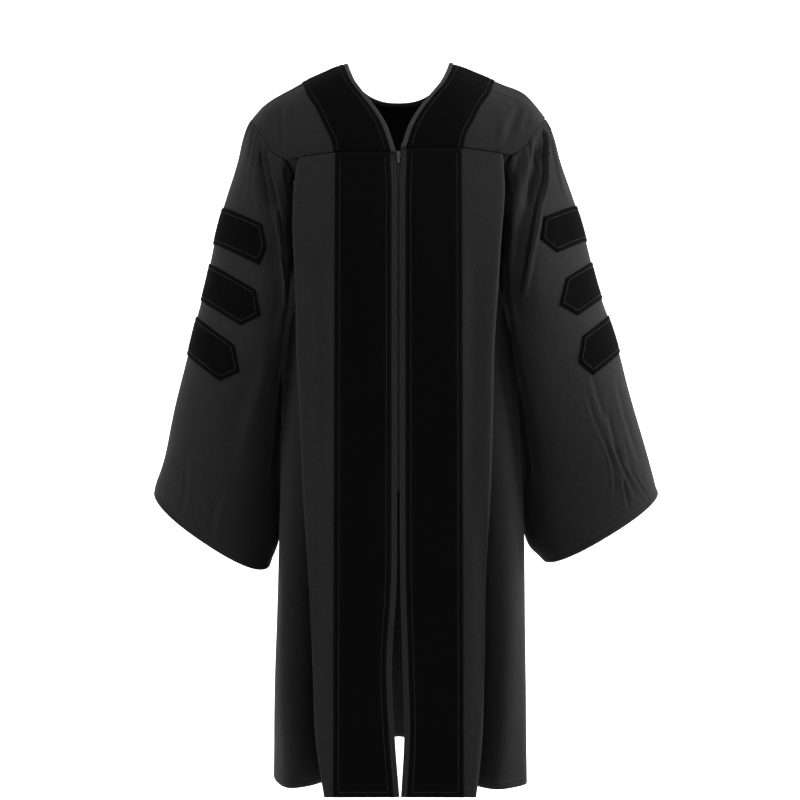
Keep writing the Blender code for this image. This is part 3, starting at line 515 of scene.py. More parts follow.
VELVET_TABLE: Mapping[str, Row] = {
    "turn": (0.00, 0.35, 0.60, 0.79, 0.86, 0.95, 1.00),
    "x": (0.181, 0.168, 0.147, 0.131, 0.123, 0.118, 0.116),
}
BACK_ARMHOLE_TABLE: Mapping[str, Row] = {
    "turn": (0.00, 0.30, 0.55, 0.80, 1.00),
    "x": (0.275, 0.266, 0.250, 0.228, 0.207),
}
SECTIONS: Mapping[str, tuple[Row, ...]] = {
    "left": (
        (-0.190, 0.128, 0.1880, 0.1105, 0.1840, 0.1062, 0.189, 0.1050, 0.195, 0.1045, 0.2000, 0.1035),
        (-0.250, 0.138, 0.1915, 0.122, 0.1740, 0.1080, 0.178, 0.0980, 0.182, 0.0830, 0.1840, 0.0740),
        (-0.330, 0.148, 0.1850, 0.136, 0.1660, 0.1150, 0.173, 0.0960, 0.180, 0.0620, 0.1805, 0.0380),
        (-0.365, 0.151, 0.1820, 0.141, 0.1640, 0.1180, 0.173, 0.0960, 0.182, 0.0550, 0.1820, 0.0000),
        (-0.420, 0.155, 0.1780, 0.147, 0.1620, 0.1200, 0.175, 0.0970, 0.186, 0.0550, 0.1860, 0.0000),
        (-0.520, 0.161, 0.1700, 0.155, 0.1550, 0.1180, 0.181, 0.1000, 0.2050, 0.0580, 0.2040, 0.0000),
        (-0.660, 0.169, 0.1660, 0.165, 0.1530, 0.1180, 0.190, 0.1080, 0.2190, 0.0620, 0.2170, 0.0000),
        (-0.800, 0.177, 0.1620, 0.174, 0.1500, 0.1180, 0.195, 0.1170, 0.2265, 0.0700, 0.2240, 0.0000),
        (-0.950, 0.185, 0.1550, 0.183, 0.1440, 0.1190, 0.197, 0.1280, 0.2290, 0.0800, 0.2260, 0.0000),
        (-1.100, 0.192, 0.1520, 0.191, 0.1420, 0.1180, 0.193, 0.1370, 0.2290, 0.0920, 0.2265, 0.0000),
        (-1.220, 0.197, 0.1460, 0.197, 0.1370, 0.1150, 0.185, 0.1450, 0.2290, 0.1050, 0.2280, 0.0000),
        (-1.319, 0.202, 0.1350, 0.203, 0.1290, 0.1130, 0.172, 0.1530, 0.2285, 0.1180, 0.2290, 0.0000),
    ),
    "right": (
        (-0.190, 0.128, 0.1790, 0.1130, 0.1740, 0.1085, 0.182, 0.1065, 0.191, 0.1050, 0.2000, 0.1035),
        (-0.250, 0.138, 0.1870, 0.123, 0.1700, 0.1090, 0.176, 0.0990, 0.182, 0.0830, 0.1840, 0.0740),
        (-0.330, 0.148, 0.1890, 0.135, 0.1690, 0.1150, 0.174, 0.0960, 0.180, 0.0620, 0.1805, 0.0380),
        (-0.365, 0.151, 0.1880, 0.140, 0.1680, 0.1170, 0.174, 0.0960, 0.182, 0.0550, 0.1820, 0.0000),
        (-0.420, 0.155, 0.1850, 0.146, 0.1670, 0.1190, 0.176, 0.0960, 0.186, 0.0550, 0.1860, 0.0000),
        (-0.520, 0.161, 0.1810, 0.155, 0.1640, 0.1170, 0.183, 0.0970, 0.2030, 0.0560, 0.2020, 0.0000),
        (-0.660, 0.169, 0.1735, 0.165, 0.1590, 0.1150, 0.192, 0.1030, 0.2130, 0.0580, 0.2120, 0.0000),
        (-0.800, 0.177, 0.1670, 0.174, 0.1540, 0.1130, 0.198, 0.1130, 0.2170, 0.0620, 0.2160, 0.0000),
        (-0.950, 0.185, 0.1590, 0.183, 0.1470, 0.1110, 0.202, 0.1230, 0.2190, 0.0640, 0.2180, 0.0000),
        (-1.100, 0.192, 0.1510, 0.191, 0.1400, 0.1060, 0.201, 0.1330, 0.2235, 0.0660, 0.2225, 0.0000),
        (-1.220, 0.197, 0.1440, 0.197, 0.1350, 0.0980, 0.197, 0.1410, 0.2280, 0.0660, 0.2270, 0.0000),
        (-1.319, 0.202, 0.1290, 0.203, 0.1260, 0.0900, 0.190, 0.1460, 0.2285, 0.0640, 0.2280, 0.0000),
    ),
}
FRONT_EDGE_TABLE: Mapping[str, Row] = {
    "z": (-1.319, -1.260, -1.213, -1.150, -1.116, -1.012, -0.900, -0.800, -0.240, -0.212, -0.185),
    "right": (-0.002, 0.004, 0.0064, 0.013, 0.012, 0.0045, 0.0028, 0.0022, 0.0022, 0.0042, 0.0046),
    "left": (0.0043, 0.0048, 0.0106, 0.0147, 0.0085, 0.0042, 0.0028, 0.0022, 0.0022, 0.0042, 0.0046),
}
BACK_TABLE: Mapping[str, Row] = {
    "z": (-1.319, -1.100, -0.800, -0.520, -0.365, -0.330, -0.250, -0.200),
    "depth": (0.230, 0.210, 0.176, 0.147, 0.131, 0.127, 0.118, 0.112),
    "seam_y": (0.000, 0.000, 0.000, 0.000, 0.000, 0.042, 0.082, 0.0990),
    "seam_x": (0.182, 0.182, 0.182, 0.182, 0.182, 0.1815, 0.190, 0.2040),
}
BACK_FLUTES: tuple[Pair, ...] = (
    (-62, 0.010), (-50, 0.017), (-39, 0.014), (-29, 0.020), (-19, 0.016), (-9, 0.021), (0, 0.018),
    (10, 0.022), (19, 0.015), (30, 0.020), (40, 0.014), (51, 0.018), (62, 0.010),
)
SLEEVES: Mapping[str, tuple[Row, ...]] = {
    "left": (
        (0.000, 0.275, -0.102, 0.182, -0.365, 0.105, 0.102, 0.036, 0.000, 0.000),
        (0.143, 0.300, -0.175, 0.200, -0.420, 0.120, 0.118, 0.048, 0.000, 0.002),
        (0.286, 0.336, -0.285, 0.216, -0.500, 0.128, 0.125, 0.062, 0.001, 0.006),
        (0.429, 0.370, -0.405, 0.226, -0.600, 0.128, 0.125, 0.048, 0.002, 0.012),
        (0.571, 0.405, -0.517, 0.232, -0.690, 0.124, 0.121, 0.030, 0.004, 0.018),
        (0.714, 0.438, -0.640, 0.238, -0.780, 0.120, 0.116, 0.012, 0.006, 0.024),
        (0.857, 0.467, -0.740, 0.244, -0.862, 0.115, 0.111, 0.003, 0.009, 0.030),
        (1.000, 0.484, -0.798, 0.270, -0.928, 0.110, 0.107, 0.000, 0.013, 0.034),
    ),
    "right": (
        (0.000, 0.275, -0.102, 0.182, -0.365, 0.105, 0.102, 0.036, 0.000, 0.000),
        (0.143, 0.298, -0.175, 0.200, -0.420, 0.120, 0.118, 0.046, 0.000, 0.002),
        (0.286, 0.331, -0.285, 0.214, -0.500, 0.128, 0.125, 0.054, 0.001, 0.006),
        (0.429, 0.360, -0.405, 0.222, -0.600, 0.128, 0.125, 0.040, 0.002, 0.012),
        (0.571, 0.387, -0.517, 0.227, -0.690, 0.124, 0.121, 0.024, 0.004, 0.018),
        (0.714, 0.416, -0.640, 0.231, -0.780, 0.120, 0.116, 0.010, 0.006, 0.024),
        (0.857, 0.441, -0.745, 0.235, -0.865, 0.115, 0.111, 0.002, 0.014, 0.030),
        (1.000, 0.456, -0.796, 0.243, -0.938, 0.110, 0.107, 0.000, 0.021, 0.034),
    ),
}
SLEEVE_FOLDS: Mapping[str, tuple[Row, ...]] = {
    "left": (
        (0.00, 40.0, 0.48, 118.0, 0.016, 11.0),
        (0.00, 78.0, 0.42, 142.0, 0.010, 9.0),
        (0.00, -48.0, 0.44, -105.0, 0.010, 14.0),
        (0.00, -86.0, 0.40, -136.0, 0.008, 12.0),
    ),
    "right": (
        (0.00, 46.0, 0.50, 122.0, 0.012, 12.0),
        (0.00, 74.0, 0.40, 146.0, 0.007, 12.0),
        (0.00, -44.0, 0.46, -112.0, 0.010, 14.0),
        (0.00, -80.0, 0.42, -140.0, 0.008, 12.0),
    ),
}
BARS: Mapping[str, tuple[Row, ...]] = {
    "left": (
        (-0.268, 25.0, 0.261, 0.255, 0.286, 0.246),
        (-0.372, 33.0, 0.302, 0.289, 0.323, 0.262),
        (-0.472, 36.0, 0.331, 0.323, 0.350, 0.292),
    ),
    "right": (
        (-0.272, 27.0, 0.244, 0.236, 0.248, 0.262),
        (-0.375, 31.0, 0.255, 0.246, 0.282, 0.290),
        (-0.474, 35.0, 0.294, 0.284, 0.320, 0.318),
    ),
}
# How far a sleeve's inner back leans in to the body, so that no light shows between them
SLEEVE_LEAN_TABLE: Mapping[str, Row] = {
    "row": (0.00, 0.08, 0.15, 0.30, 0.57, 0.714, 0.857, 0.930, 1.00),
    "left": (0.000, 0.008, 0.0120, 0.0115, 0.0085, 0.0095, 0.012, 0.014, 0.000),
    "right": (0.000, 0.008, 0.010, 0.009, 0.009, 0.011, 0.016, 0.012, 0.003),
}


def read_table(table: Mapping[str, Row], key: str, column: str, at: float) -> float:
    """Read one column of a table of named columns.

    Args:
        table: Columns by name.
        key: Column that is looked up.
        column: Column that is read.
        at: Value of the key column.

    Returns:
        The value there.
    """
    return smooth_value(table[key], table[column], at)


@dataclass(frozen=True)
class GownForm:
    """The form that every piece of cloth lies on, sized as the solids are."""

    length: float = 1.319
    neck_half_width: float = 0.095
    chest_depth: float = 0.128
    chest_taper: float = 0.023
    chest_curve: float = 2.2
    back_depth: float = 0.112
    back_taper: float = 0.012
    yoke_half_width: float = 0.200
    back_yoke_drop: float = 0.200
    yoke_slope: float = 0.12
    yoke_slope_start: float = 0.118
    right_yoke_depth: float = 0.187
    left_yoke_depth: float = 0.179
    right_seam_turn: float = 0.10
    left_seam_turn: float = 0.30
    roundness: float = 0.5
    back_neck_reach: float = 0.40
    binding_width: float = 0.0085
    strip_width: float = 0.0105
    velvet_edge_x: float = 0.113
    underarm_z: float = -0.365
    seam_gap: float = 0.0005
    armhole_gap: float = 0.0019
    underarm_gap: float = 0.0014
    sleeve_roll: float = 0.004
    pleat_softness: float = 0.0025
    panel_curve: float = 2.4
    least_fold_step: float = 0.0018
    first_row_gap: float = 0.012
    extra_front_heights: Row = (-0.212, -0.290)
    extra_back_heights: Row = (-0.290, -0.660, -0.950, -1.220)
    back_round_x: float = 0.86
    back_round_y: float = 0.80
    velvet_back_reach: float = 0.86
    velvet_power: float = 0.75
    neck_power: float = 0.8
    neck_drop_power: float = 1.1
    row_power: float = 0.92
    underarm_share: float = 0.12
    ring_power: float = 0.85
    fit_rows: float = 0.34
    roll_rows: float = 0.05
    roll_angle: float = 75.0
    roll_spread: float = 30.0
    velvet_columns: int = 4
    pleat_columns: int = 3
    yoke_velvet_columns: int = 4
    yoke_cloth_columns: int = 5
    yoke_rows: int = 8
    back_columns: int = 56
    gathered_arc: float = 115.0
    cap_columns: int = 32
    under_columns: int = 14
    sleeve_rows: Row = (0.0, 0.03, 0.08, 0.15, 0.24, 0.34, 0.45, 0.57, 0.69, 0.80, 0.90, 0.96, 1.0)
    cap_puff: float = 0.004
    flute_half_width: float = 3.6
    flute_mean: float = 0.006
    flute_start: float = 0.16
    back_shares: Row = (0.0, 0.12, 0.25, 0.32, 0.39, 0.46, 0.53, 0.60, 0.68, 0.76, 0.84, 0.92, 1.0)

    def yoke_depth(self, side: Side) -> float:
        """How far the front yoke seam lies below the neck points."""
        return self.left_yoke_depth if side is Side.LEFT else self.right_yoke_depth

    def seam_turn(self, side: Side) -> float:
        """Turn of the shoulder seam, which lies ahead of the ridge."""
        return self.left_seam_turn if side is Side.LEFT else self.right_seam_turn

    def yoke_seam_height(self, side: Side, x: float) -> float:
        """Height of the front yoke seam, which falls towards the armhole."""
        return -self.yoke_depth(side) - self.yoke_slope * max(0.0, x - self.yoke_slope_start)

    def shoulder_point(self, side: Side, x: float, turn: float) -> np.ndarray:
        """Point of the yokes.

        Args:
            side: Side of the wearer.
            x: Distance from the middle.
            turn: -1 on the front yoke seam, 0 on the ridge, 1 on the back seam.

        Returns:
            The point.
        """
        angle = abs(turn) * math.pi / 2
        fall = (1 - math.cos(angle)) * (1 - self.roundness) + abs(turn) * self.roundness
        ridge = read_table(RIDGE_TABLE, "x", side.word, x)
        out = x / self.yoke_half_width
        if turn < 0:
            y = -(self.chest_depth - self.chest_taper * out**self.chest_curve) * math.sin(angle)
            z = ridge + (self.yoke_seam_height(side, x) - ridge) * fall
        else:
            y = (self.back_depth - self.back_taper * out**2) * math.sin(angle)
            z = ridge + (-self.back_yoke_drop - ridge) * fall
        return np.array((side.value * x, y, z))

    def panel_front_y(self, row: Mapping[str, float], x: float) -> float:
        """The front of a panel between the zip and the pleat's edge.

        Args:
            row: Named points of the section.
            x: Distance from the middle.

        Returns:
            Y of the cloth's outer face.
        """
        share = min(max(x / row["fold_x"], 0.0), 1.0)
        return -(row["depth"] + (row["fold_y"] - row["depth"]) * share**self.panel_curve)

    def front_section(self, side: Side, z: float) -> list[np.ndarray]:
        """Cross-section of a front panel, from the zip round to the side seam.

        Args:
            side: Side of the wearer.
            z: Height of the section.

        Returns:
            Points as distances outward and Y.
        """
        row = read_row(SECTIONS[side.word], SECTION_NAMES, z)
        edge = read_table(FRONT_EDGE_TABLE, "z", side.word, z)
        strip = edge + self.strip_width
        soft = self.pleat_softness
        fold, tuck, flute, corner, seam = (
            np.array((row[f"{name}_x"], -row[f"{name}_y"]))
            for name in ("fold", "tuck", "flute", "edge", "seam")
        )
        velvet = self.velvet_edge_x
        xs = [edge]
        xs += [strip + (velvet - strip) * i / self.velvet_columns for i in range(self.velvet_columns + 1)]
        last = fold[0] - 2.0 * soft
        xs += [velvet + (last - velvet) * i / self.pleat_columns for i in range(1, self.pleat_columns + 1)]
        section = [np.array((x, self.panel_front_y(row, x))) for x in xs]
        step = max(min(soft, (tuck[1] - fold[1]) / 3), self.least_fold_step)
        section.append(fold + np.array((0.0, 0.4 * step)))
        section.append(fold + np.array((-1.6 * soft, 1.9 * step)))
        section.append(tuck + np.array((0.3 * soft, -0.4 * step)))
        ridge = 2 * flute - 0.5 * (tuck + corner)
        for share in (0.16, 0.5, 0.84):
            section.append(bezier((tuck + np.array((0.0, step)), ridge, corner), share))
        section.append(corner)
        section.append(0.5 * (corner + seam) + np.array((0.0015, 0.0)))
        section.append(seam)
        return section

    def front_heights(self, side: Side) -> list[float]:
        """Heights of a front panel's rows, top first."""
        heights = {row[0] for row in SECTIONS[side.word]}
        return sorted(heights.union(self.extra_front_heights), reverse=True)

    def front_panel(self, side: Side) -> ClothGrid:
        """A front panel from the yoke seam to the hem, labelled by column and height.

        Args:
            side: Side of the wearer.

        Returns:
            The sheet's outer face.
        """
        rows = []
        for i, z in enumerate(self.front_heights(side)):
            line = []
            for x, y in self.front_section(side, z):
                height = z
                if i == 0:
                    height = self.yoke_seam_height(side, x) - self.seam_gap
                if i == 1:
                    height = min(z, self.yoke_seam_height(side, x) - self.first_row_gap)
                line.append((side.value * x, y, height))
            rows.append(line)
        points = np.array(rows)
        across = np.arange(points.shape[1], dtype=float)
        return ClothGrid(points, across, points[:, 0, 2].copy(), -side.value)

    def armhole_edge(self, side: Side, z: float, behind: bool) -> Row:
        """Edge of the front or back panel at the armhole.

        Args:
            side: Side of the wearer.
            z: Height.
            behind: Whether it is the back panel's edge.

        Returns:
            Distance outward, Y and height.
        """
        if behind and z >= self.underarm_z:
            x = read_table(BACK_TABLE, "z", "seam_x", z)
            return (x, read_table(BACK_TABLE, "z", "seam_y", z), z)
        row = read_row(SECTIONS[side.word], SECTION_NAMES, z)
        return (row["seam_x"], 0.0 if behind else -row["seam_y"], z)

    def back_heights(self) -> list[float]:
        """Heights of the back panel's rows, top first."""
        return sorted({*BACK_TABLE["z"], *self.extra_back_heights}, reverse=True)

    def back_panel(self) -> ClothGrid:
        """The fluted back panel, labelled by degrees round the back and height."""
        rows = []
        for i, z in enumerate(self.back_heights()):
            depth = read_table(BACK_TABLE, "z", "depth", z)
            seam_y = read_table(BACK_TABLE, "z", "seam_y", z)
            down = (-self.back_yoke_drop - z) / (self.length - self.back_yoke_drop)
            share = self.flute_start + (1 - self.flute_start) * eased(down)
            line = []
            for j in range(self.back_columns + 1):
                place = -1 + 2 * j / self.back_columns
                seam_x = self.armhole_edge(Side.RIGHT if place < 0 else Side.LEFT, z, True)[0]
                angle = place * math.pi / 2
                x = math.copysign(abs(math.sin(angle)) ** self.back_round_x, place) * seam_x
                y = seam_y
                if abs(place) < 1:
                    y += (depth - seam_y) * math.cos(angle) ** self.back_round_y
                bulge = -self.flute_mean * math.cos(angle)
                for centre, height in BACK_FLUTES:
                    bulge += height * math.exp(-(((place * 90.0 - centre) / self.flute_half_width) ** 2))
                if z <= self.underarm_z and abs(place) == 1:
                    y += self.seam_gap
                x += math.sin(angle) * bulge * share
                y += math.cos(angle) * bulge * share
                line.append((x, y, -self.back_yoke_drop - self.seam_gap if i == 0 else z))
            rows.append(line)
        points = np.array(rows)
        across = np.linspace(-90.0, 90.0, points.shape[1])
        return ClothGrid(points, across, points[:, 0, 2].copy(), 1.0)

    def front_edges(self, turn: float) -> tuple[Pair, Pair, Pair]:
        """Neckline, velvet edge and armhole at a turn of the front yoke."""
        neck = (read_table(NECKLINE_TABLE, "turn", "x", turn), -turn)
        velvet = (read_table(VELVET_TABLE, "turn", "x", turn), -turn)
        arm = (read_table(ARMHOLE_TABLE, "turn", "x", turn), -turn)
        return neck, velvet, arm

    def back_edges(self, side: Side, share: float) -> tuple[Pair, Pair, Pair]:
        """Neckline, velvet edge and outer edge of the back yoke.

        Args:
            side: Side of the wearer.
            share: 0 at the shoulder seam to 1 in the middle of the back.

        Returns:
            The three places as distance from the middle and turn.
        """
        ridge, corner = 0.25, 0.60
        if share <= ridge:
            return self.front_edges(self.seam_turn(side) * (1 - share / ridge))
        angle = (share - ridge) / (1 - ridge) * math.pi / 2
        across = math.cos(angle) if share < 1 else 0.0
        neck_turn = self.back_neck_reach * math.sin(angle) ** self.neck_drop_power
        neck = (self.neck_half_width * across**self.neck_power, neck_turn)
        velvet_x = VELVET_TABLE["x"][0] * across**self.velvet_power
        velvet = (velvet_x, self.velvet_back_reach * math.sin(angle))
        if share <= corner:
            turn = (share - ridge) / (corner - ridge)
            return neck, velvet, (read_table(BACK_ARMHOLE_TABLE, "turn", "x", turn), turn)
        outwards = 1 - (share - corner) / (1 - corner)
        return neck, velvet, (BACK_ARMHOLE_TABLE["x"][-1] * outwards, 1.0)

    def yoke_line(self, side: Side, edges: tuple[Pair, Pair, Pair]) -> list[np.ndarray]:
        """One line of a yoke from beside the binding to its outer edge.

        Args:
            side: Side of the wearer.
            edges: Neckline, velvet edge and outer edge.

        Returns:
            Points of the line.
        """
        inner, velvet, outer = (np.array(edge) for edge in edges)
        reach = np.linalg.norm(self.shoulder_point(side, *velvet) - self.shoulder_point(side, *inner))
        start = inner + (velvet - inner) * (self.binding_width + self.seam_gap) / float(reach)
        count = self.yoke_velvet_columns
        places = [start + (velvet - start) * i / count for i in range(count + 1)]
        count = self.yoke_cloth_columns
        places += [velvet + (outer - velvet) * i / count for i in range(1, count + 1)]
        return [self.shoulder_point(side, x, turn) for x, turn in places]

    def binding_line(self, side: Side, edges: tuple[Pair, Pair, Pair]) -> list[np.ndarray]:
        """Five points across the binding of the neckline.

        Args:
            side: Side of the wearer.
            edges: Neckline, velvet edge and outer edge.

        Returns:
            Points from the neckline outward.
        """
        inner, velvet = np.array(edges[0]), np.array(edges[1])
        reach = np.linalg.norm(self.shoulder_point(side, *velvet) - self.shoulder_point(side, *inner))
        share = self.binding_width / float(reach)
        places = [inner + (velvet - inner) * share * i / 4 for i in range(5)]
        return [self.shoulder_point(side, x, turn) for x, turn in places]

    def front_turns(self, side: Side) -> list[float]:
        """Turns of the front yoke's rows, from the shoulder seam down."""
        start = self.seam_turn(side)
        shares = [(i / self.yoke_rows) ** self.row_power for i in range(self.yoke_rows + 1)]
        return [start + (1 - start) * share for share in shares]

    def front_yoke(self, side: Side) -> ClothGrid:
        """A front yoke from the shoulder seam to the yoke seam."""
        turns = self.front_turns(side)
        points = np.array([self.yoke_line(side, self.front_edges(turn)) for turn in turns])
        return ClothGrid(points, np.arange(points.shape[1], dtype=float), np.array(turns), -side.value)

    def front_binding(self, side: Side) -> ClothGrid:
        """The binding of one side of the open front of the neck."""
        turns = self.front_turns(side)
        points = np.array([self.binding_line(side, self.front_edges(turn)) for turn in turns])
        return ClothGrid(points, np.linspace(0.0, 1.0, points.shape[1]), np.array(turns), -side.value)

    def round_the_back(
        self, line_of: Callable[[Side, tuple[Pair, Pair, Pair]], list[np.ndarray]]
    ) -> ClothGrid:
        """A sheet from the right shoulder seam over the back to the left one.

        Args:
            line_of: Makes one line from its edges.

        Returns:
            The sheet, labelled by place from -1 on the right to 1 on the left.
        """
        lines, places = [], []
        for side, shares in ((Side.RIGHT, self.back_shares), (Side.LEFT, self.back_shares[-2::-1])):
            for share in shares:
                lines.append(line_of(side, self.back_edges(side, share)))
                places.append(side.value * (1 - share))
        points = np.array(lines)
        for line, towards in ((0, 1), (-1, -2)):
            step = points[towards] - points[line]
            points[line] += step / np.linalg.norm(step, axis=1, keepdims=True) * self.seam_gap
        return ClothGrid(points, np.arange(points.shape[1], dtype=float), np.array(places), -1.0)

    def armhole_loop_point(self, side: Side, angle: float) -> np.ndarray:
        """Point of the armhole.

        Args:
            side: Side of the wearer.
            angle: 0 shoulder, 90 front yoke corner, 180 underarm, -90 back corner.

        Returns:
            The point.
        """
        angle = (angle + 180.0) % 360.0 - 180.0
        if abs(angle) <= 90:
            turn = abs(angle) / 90
            table = ARMHOLE_TABLE if angle >= 0 else BACK_ARMHOLE_TABLE
            x = read_table(table, "turn", "x", turn)
            return self.shoulder_point(side, x, -turn if angle >= 0 else turn)
        share = (abs(angle) - 90) / 90
        behind = angle < 0
        top = -self.back_yoke_drop if behind else self.yoke_seam_height(side, self.yoke_half_width)
        z = top + (self.underarm_z - top) * math.sin(share * math.pi / 2)
        heights = self.back_heights() if behind else self.front_heights(side)
        edges = [self.armhole_edge(side, height, behind) for height in heights]
        edges = sorted((edge for edge in edges if edge[2] >= self.underarm_z), key=lambda edge: edge[2])
        steps = [edge[2] for edge in edges]
        x = float(np.interp(z, steps, [edge[0] for edge in edges]))
        y = float(np.interp(z, steps, [edge[1] for edge in edges]))
        x += self.underarm_gap * eased(share / self.underarm_share)
        return np.array((side.value * x, y, z))

    def sleeve_ring_point(self, side: Side, row: float, angle: float) -> np.ndarray:
        """Point of a sleeve's plain form, a drawn-in ring between two lines.

        Args:
            side: Side of the wearer.
            row: 0 at the armhole to 1 at the cuff.
            angle: Degrees round the ring from the outer line over the front.

        Returns:
            The point.
        """
        sizes = read_row(SLEEVES[side.word], SLEEVE_NAMES, row)
        outer = np.array((sizes["outer_x"], 0.0, sizes["outer_z"]))
        inner = np.array((sizes["inner_x"], 0.0, sizes["inner_z"]))
        turn = math.radians(angle)
        across, aside = (
            math.copysign(abs(part) ** self.ring_power, part) for part in (math.cos(turn), math.sin(turn))
        )
        reach = sizes["front"] if aside > 0 else sizes["back"]
        hang = sizes["dip"] if aside > 0 else sizes["rise"]
        point = (outer + inner) / 2 + (outer - inner) / 2 * across
        point += np.array((-sizes["hollow"] * aside**2, -reach * aside, -hang * aside))
        return np.array((side.value * point[0], point[1], point[2]))

    def sleeve_angles(self) -> list[float]:
        """Angles of a sleeve's columns, closer over the gathered cap."""
        cap_step = 2 * self.gathered_arc / self.cap_columns
        under_step = (360 - 2 * self.gathered_arc) / self.under_columns
        cap = [cap_step * i - self.gathered_arc for i in range(self.cap_columns + 1)]
        return cap + [self.gathered_arc + under_step * i for i in range(1, self.under_columns)]

    def fold_depth(self, side: Side, row: float, angle: float) -> float:
        """How far a sleeve's long folds and puffed cap move its cloth.

        Args:
            side: Side of the wearer.
            row: 0 at the armhole to 1 at the cuff.
            angle: Degrees round the ring, -180 to 180.

        Returns:
            Movement outward.
        """
        depth = 0.0
        for fold in SLEEVE_FOLDS[side.word]:
            sizes = dict(zip(FOLD_NAMES, fold))
            along = row / sizes["end_row"]
            centre = sizes["angle"] + (sizes["end_angle"] - sizes["angle"]) * along**0.8
            rise = eased(row / 0.08) * (1 - eased(along - 0.25))
            depth -= sizes["depth"] * rise * math.exp(-(((angle - centre) / sizes["width"]) ** 2))
        if abs(angle) < self.gathered_arc:
            fade = (1 - eased(row / 0.22)) * eased(row / 0.02)
            depth += self.cap_puff * eased(row / 0.06) * fade
        return depth

    def sleeve(self, side: Side) -> ClothGrid:
        """A sleeve's outer face, rings from the armhole to the cuff.

        Args:
            side: Side of the wearer.

        Returns:
            The sheet, labelled by degrees round the ring and share of its length.
        """
        angles = self.sleeve_angles()
        rows = []
        for row in self.sleeve_rows:
            fit = 1 - eased(row / self.fit_rows)
            rolled = self.sleeve_roll * eased(row / self.roll_rows) * fit
            line = []
            for angle in angles:
                miss = self.armhole_loop_point(side, angle) - self.sleeve_ring_point(side, 0.0, angle)
                below = abs(180.0 - abs(180.0 - angle)) - self.roll_angle
                roll = np.array((side.value * rolled * eased(below / self.roll_spread), 0.0, 0.0))
                line.append(self.sleeve_ring_point(side, row, angle) + miss * fit + roll)
            rows.append(line)
        plain = ClothGrid(np.array(rows), np.array(angles), np.array(self.sleeve_rows), side.value, True)
        turned = [(angle + 180.0) % 360.0 - 180.0 for angle in angles]
        heights = [[self.fold_depth(side, row, angle) for angle in turned] for row in self.sleeve_rows]
        points = plain.push(np.array(heights)).points
        step = points[1] - points[0]
        points[0] += step / np.linalg.norm(step, axis=1, keepdims=True) * self.armhole_gap
        return ClothGrid(points, plain.across, plain.down, side.value, True)


# Finishes


def linear(code: str) -> tuple[float, float, float, float]:
    """Turn an sRGB hex value into linear colour.

    Args:
        code: Six hex digits, such as "1c1c1d".

    Returns:
        Red, green, blue and an alpha of 1.
    """
    shares = (int(code[i : i + 2], 16) / 255 for i in (0, 2, 4))
    red, green, blue = (c / 12.92 if c <= 0.04045 else ((c + 0.055) / 1.055) ** 2.4 for c in shares)
    return red, green, blue, 1.0


def add_node(
    tree: bpy.types.NodeTree,
    kind: str,
    values: Optional[Mapping[str, object]] = None,
    links: Optional[Mapping[str, bpy.types.NodeSocket]] = None,
    **settings: object,
) -> bpy.types.Node:
    """Add a node with its settings and links.

    Args:
        tree: Node tree of the material.
        kind: Blender's name for the kind of node.
        values: Value of each named input.
        links: Socket that feeds each named input.
        **settings: The node's own settings.

    Returns:
        The node.
    """
    node = tree.nodes.new(kind)
    for name, value in settings.items():
        setattr(node, name, value)
    for name, value in (values or {}).items():
        node.inputs[int(name) if name.isdigit() else name].default_value = value
    for name, socket in (links or {}).items():
        tree.links.new(socket, node.inputs[int(name) if name.isdigit() else name])
    return node


def place_on(tree: bpy.types.NodeTree, kind: str = "Object") -> bpy.types.NodeSocket:
    """Socket with the place on the piece, in its own axes or in its UV map."""
    return add_node(tree, "ShaderNodeTexCoord").outputs[kind]


def noise(
    tree: bpy.types.NodeTree, place: bpy.types.NodeSocket, size_mm: float, detail: float, roughness: float
) -> bpy.types.NodeSocket:
    """Add noise with patches of a given size.

    Args:
        tree: Node tree of the material.
        place: Socket with the place in metres.
        size_mm: Size of the patches.
        detail: How many finer layers it has.
        roughness: How strong the finer layers are.

    Returns:
        Socket with the noise.
    """
    values = {"Scale": 1000 / size_mm, "Detail": detail, "Roughness": roughness}
    return add_node(tree, "ShaderNodeTexNoise", values, {"Vector": place}).outputs["Fac"]


def bands(
    tree: bpy.types.NodeTree, place: bpy.types.NodeSocket, size_mm: float, wander: float, direction: str,
    detail: float = 2.0,
) -> bpy.types.NodeSocket:
    """Add parallel bands, such as threads or ribs.

    Args:
        tree: Node tree of the material.
        place: Socket with the place in metres.
        size_mm: Distance from band to band.
        wander: How far the bands wander.
        direction: Axis that they cross, as Blender names it.
        detail: How many finer layers the wandering has.

    Returns:
        Socket with the height of the bands.
    """
    values = {"Scale": 1000 / size_mm / WAVE_BANDS, "Distortion": wander, "Detail": detail}
    node = add_node(tree, "ShaderNodeTexWave", values, {"Vector": place}, bands_direction=direction)
    return node.outputs["Fac"]


def relief(
    tree: bpy.types.NodeTree, height: bpy.types.NodeSocket, strength: float, distance: float,
    under: Optional[bpy.types.NodeSocket] = None,
) -> bpy.types.NodeSocket:
    """Add relief to a surface.

    Args:
        tree: Node tree of the material.
        height: Socket with the height.
        strength: Strength of the relief.
        distance: Height in metres of a step of 1.
        under: Socket with a coarser relief under it.

    Returns:
        Socket with the normal.
    """
    values = {"Strength": strength, "Distance": distance}
    links = {"Height": height} if under is None else {"Height": height, "Normal": under}
    return add_node(tree, "ShaderNodeBump", values, links).outputs["Normal"]


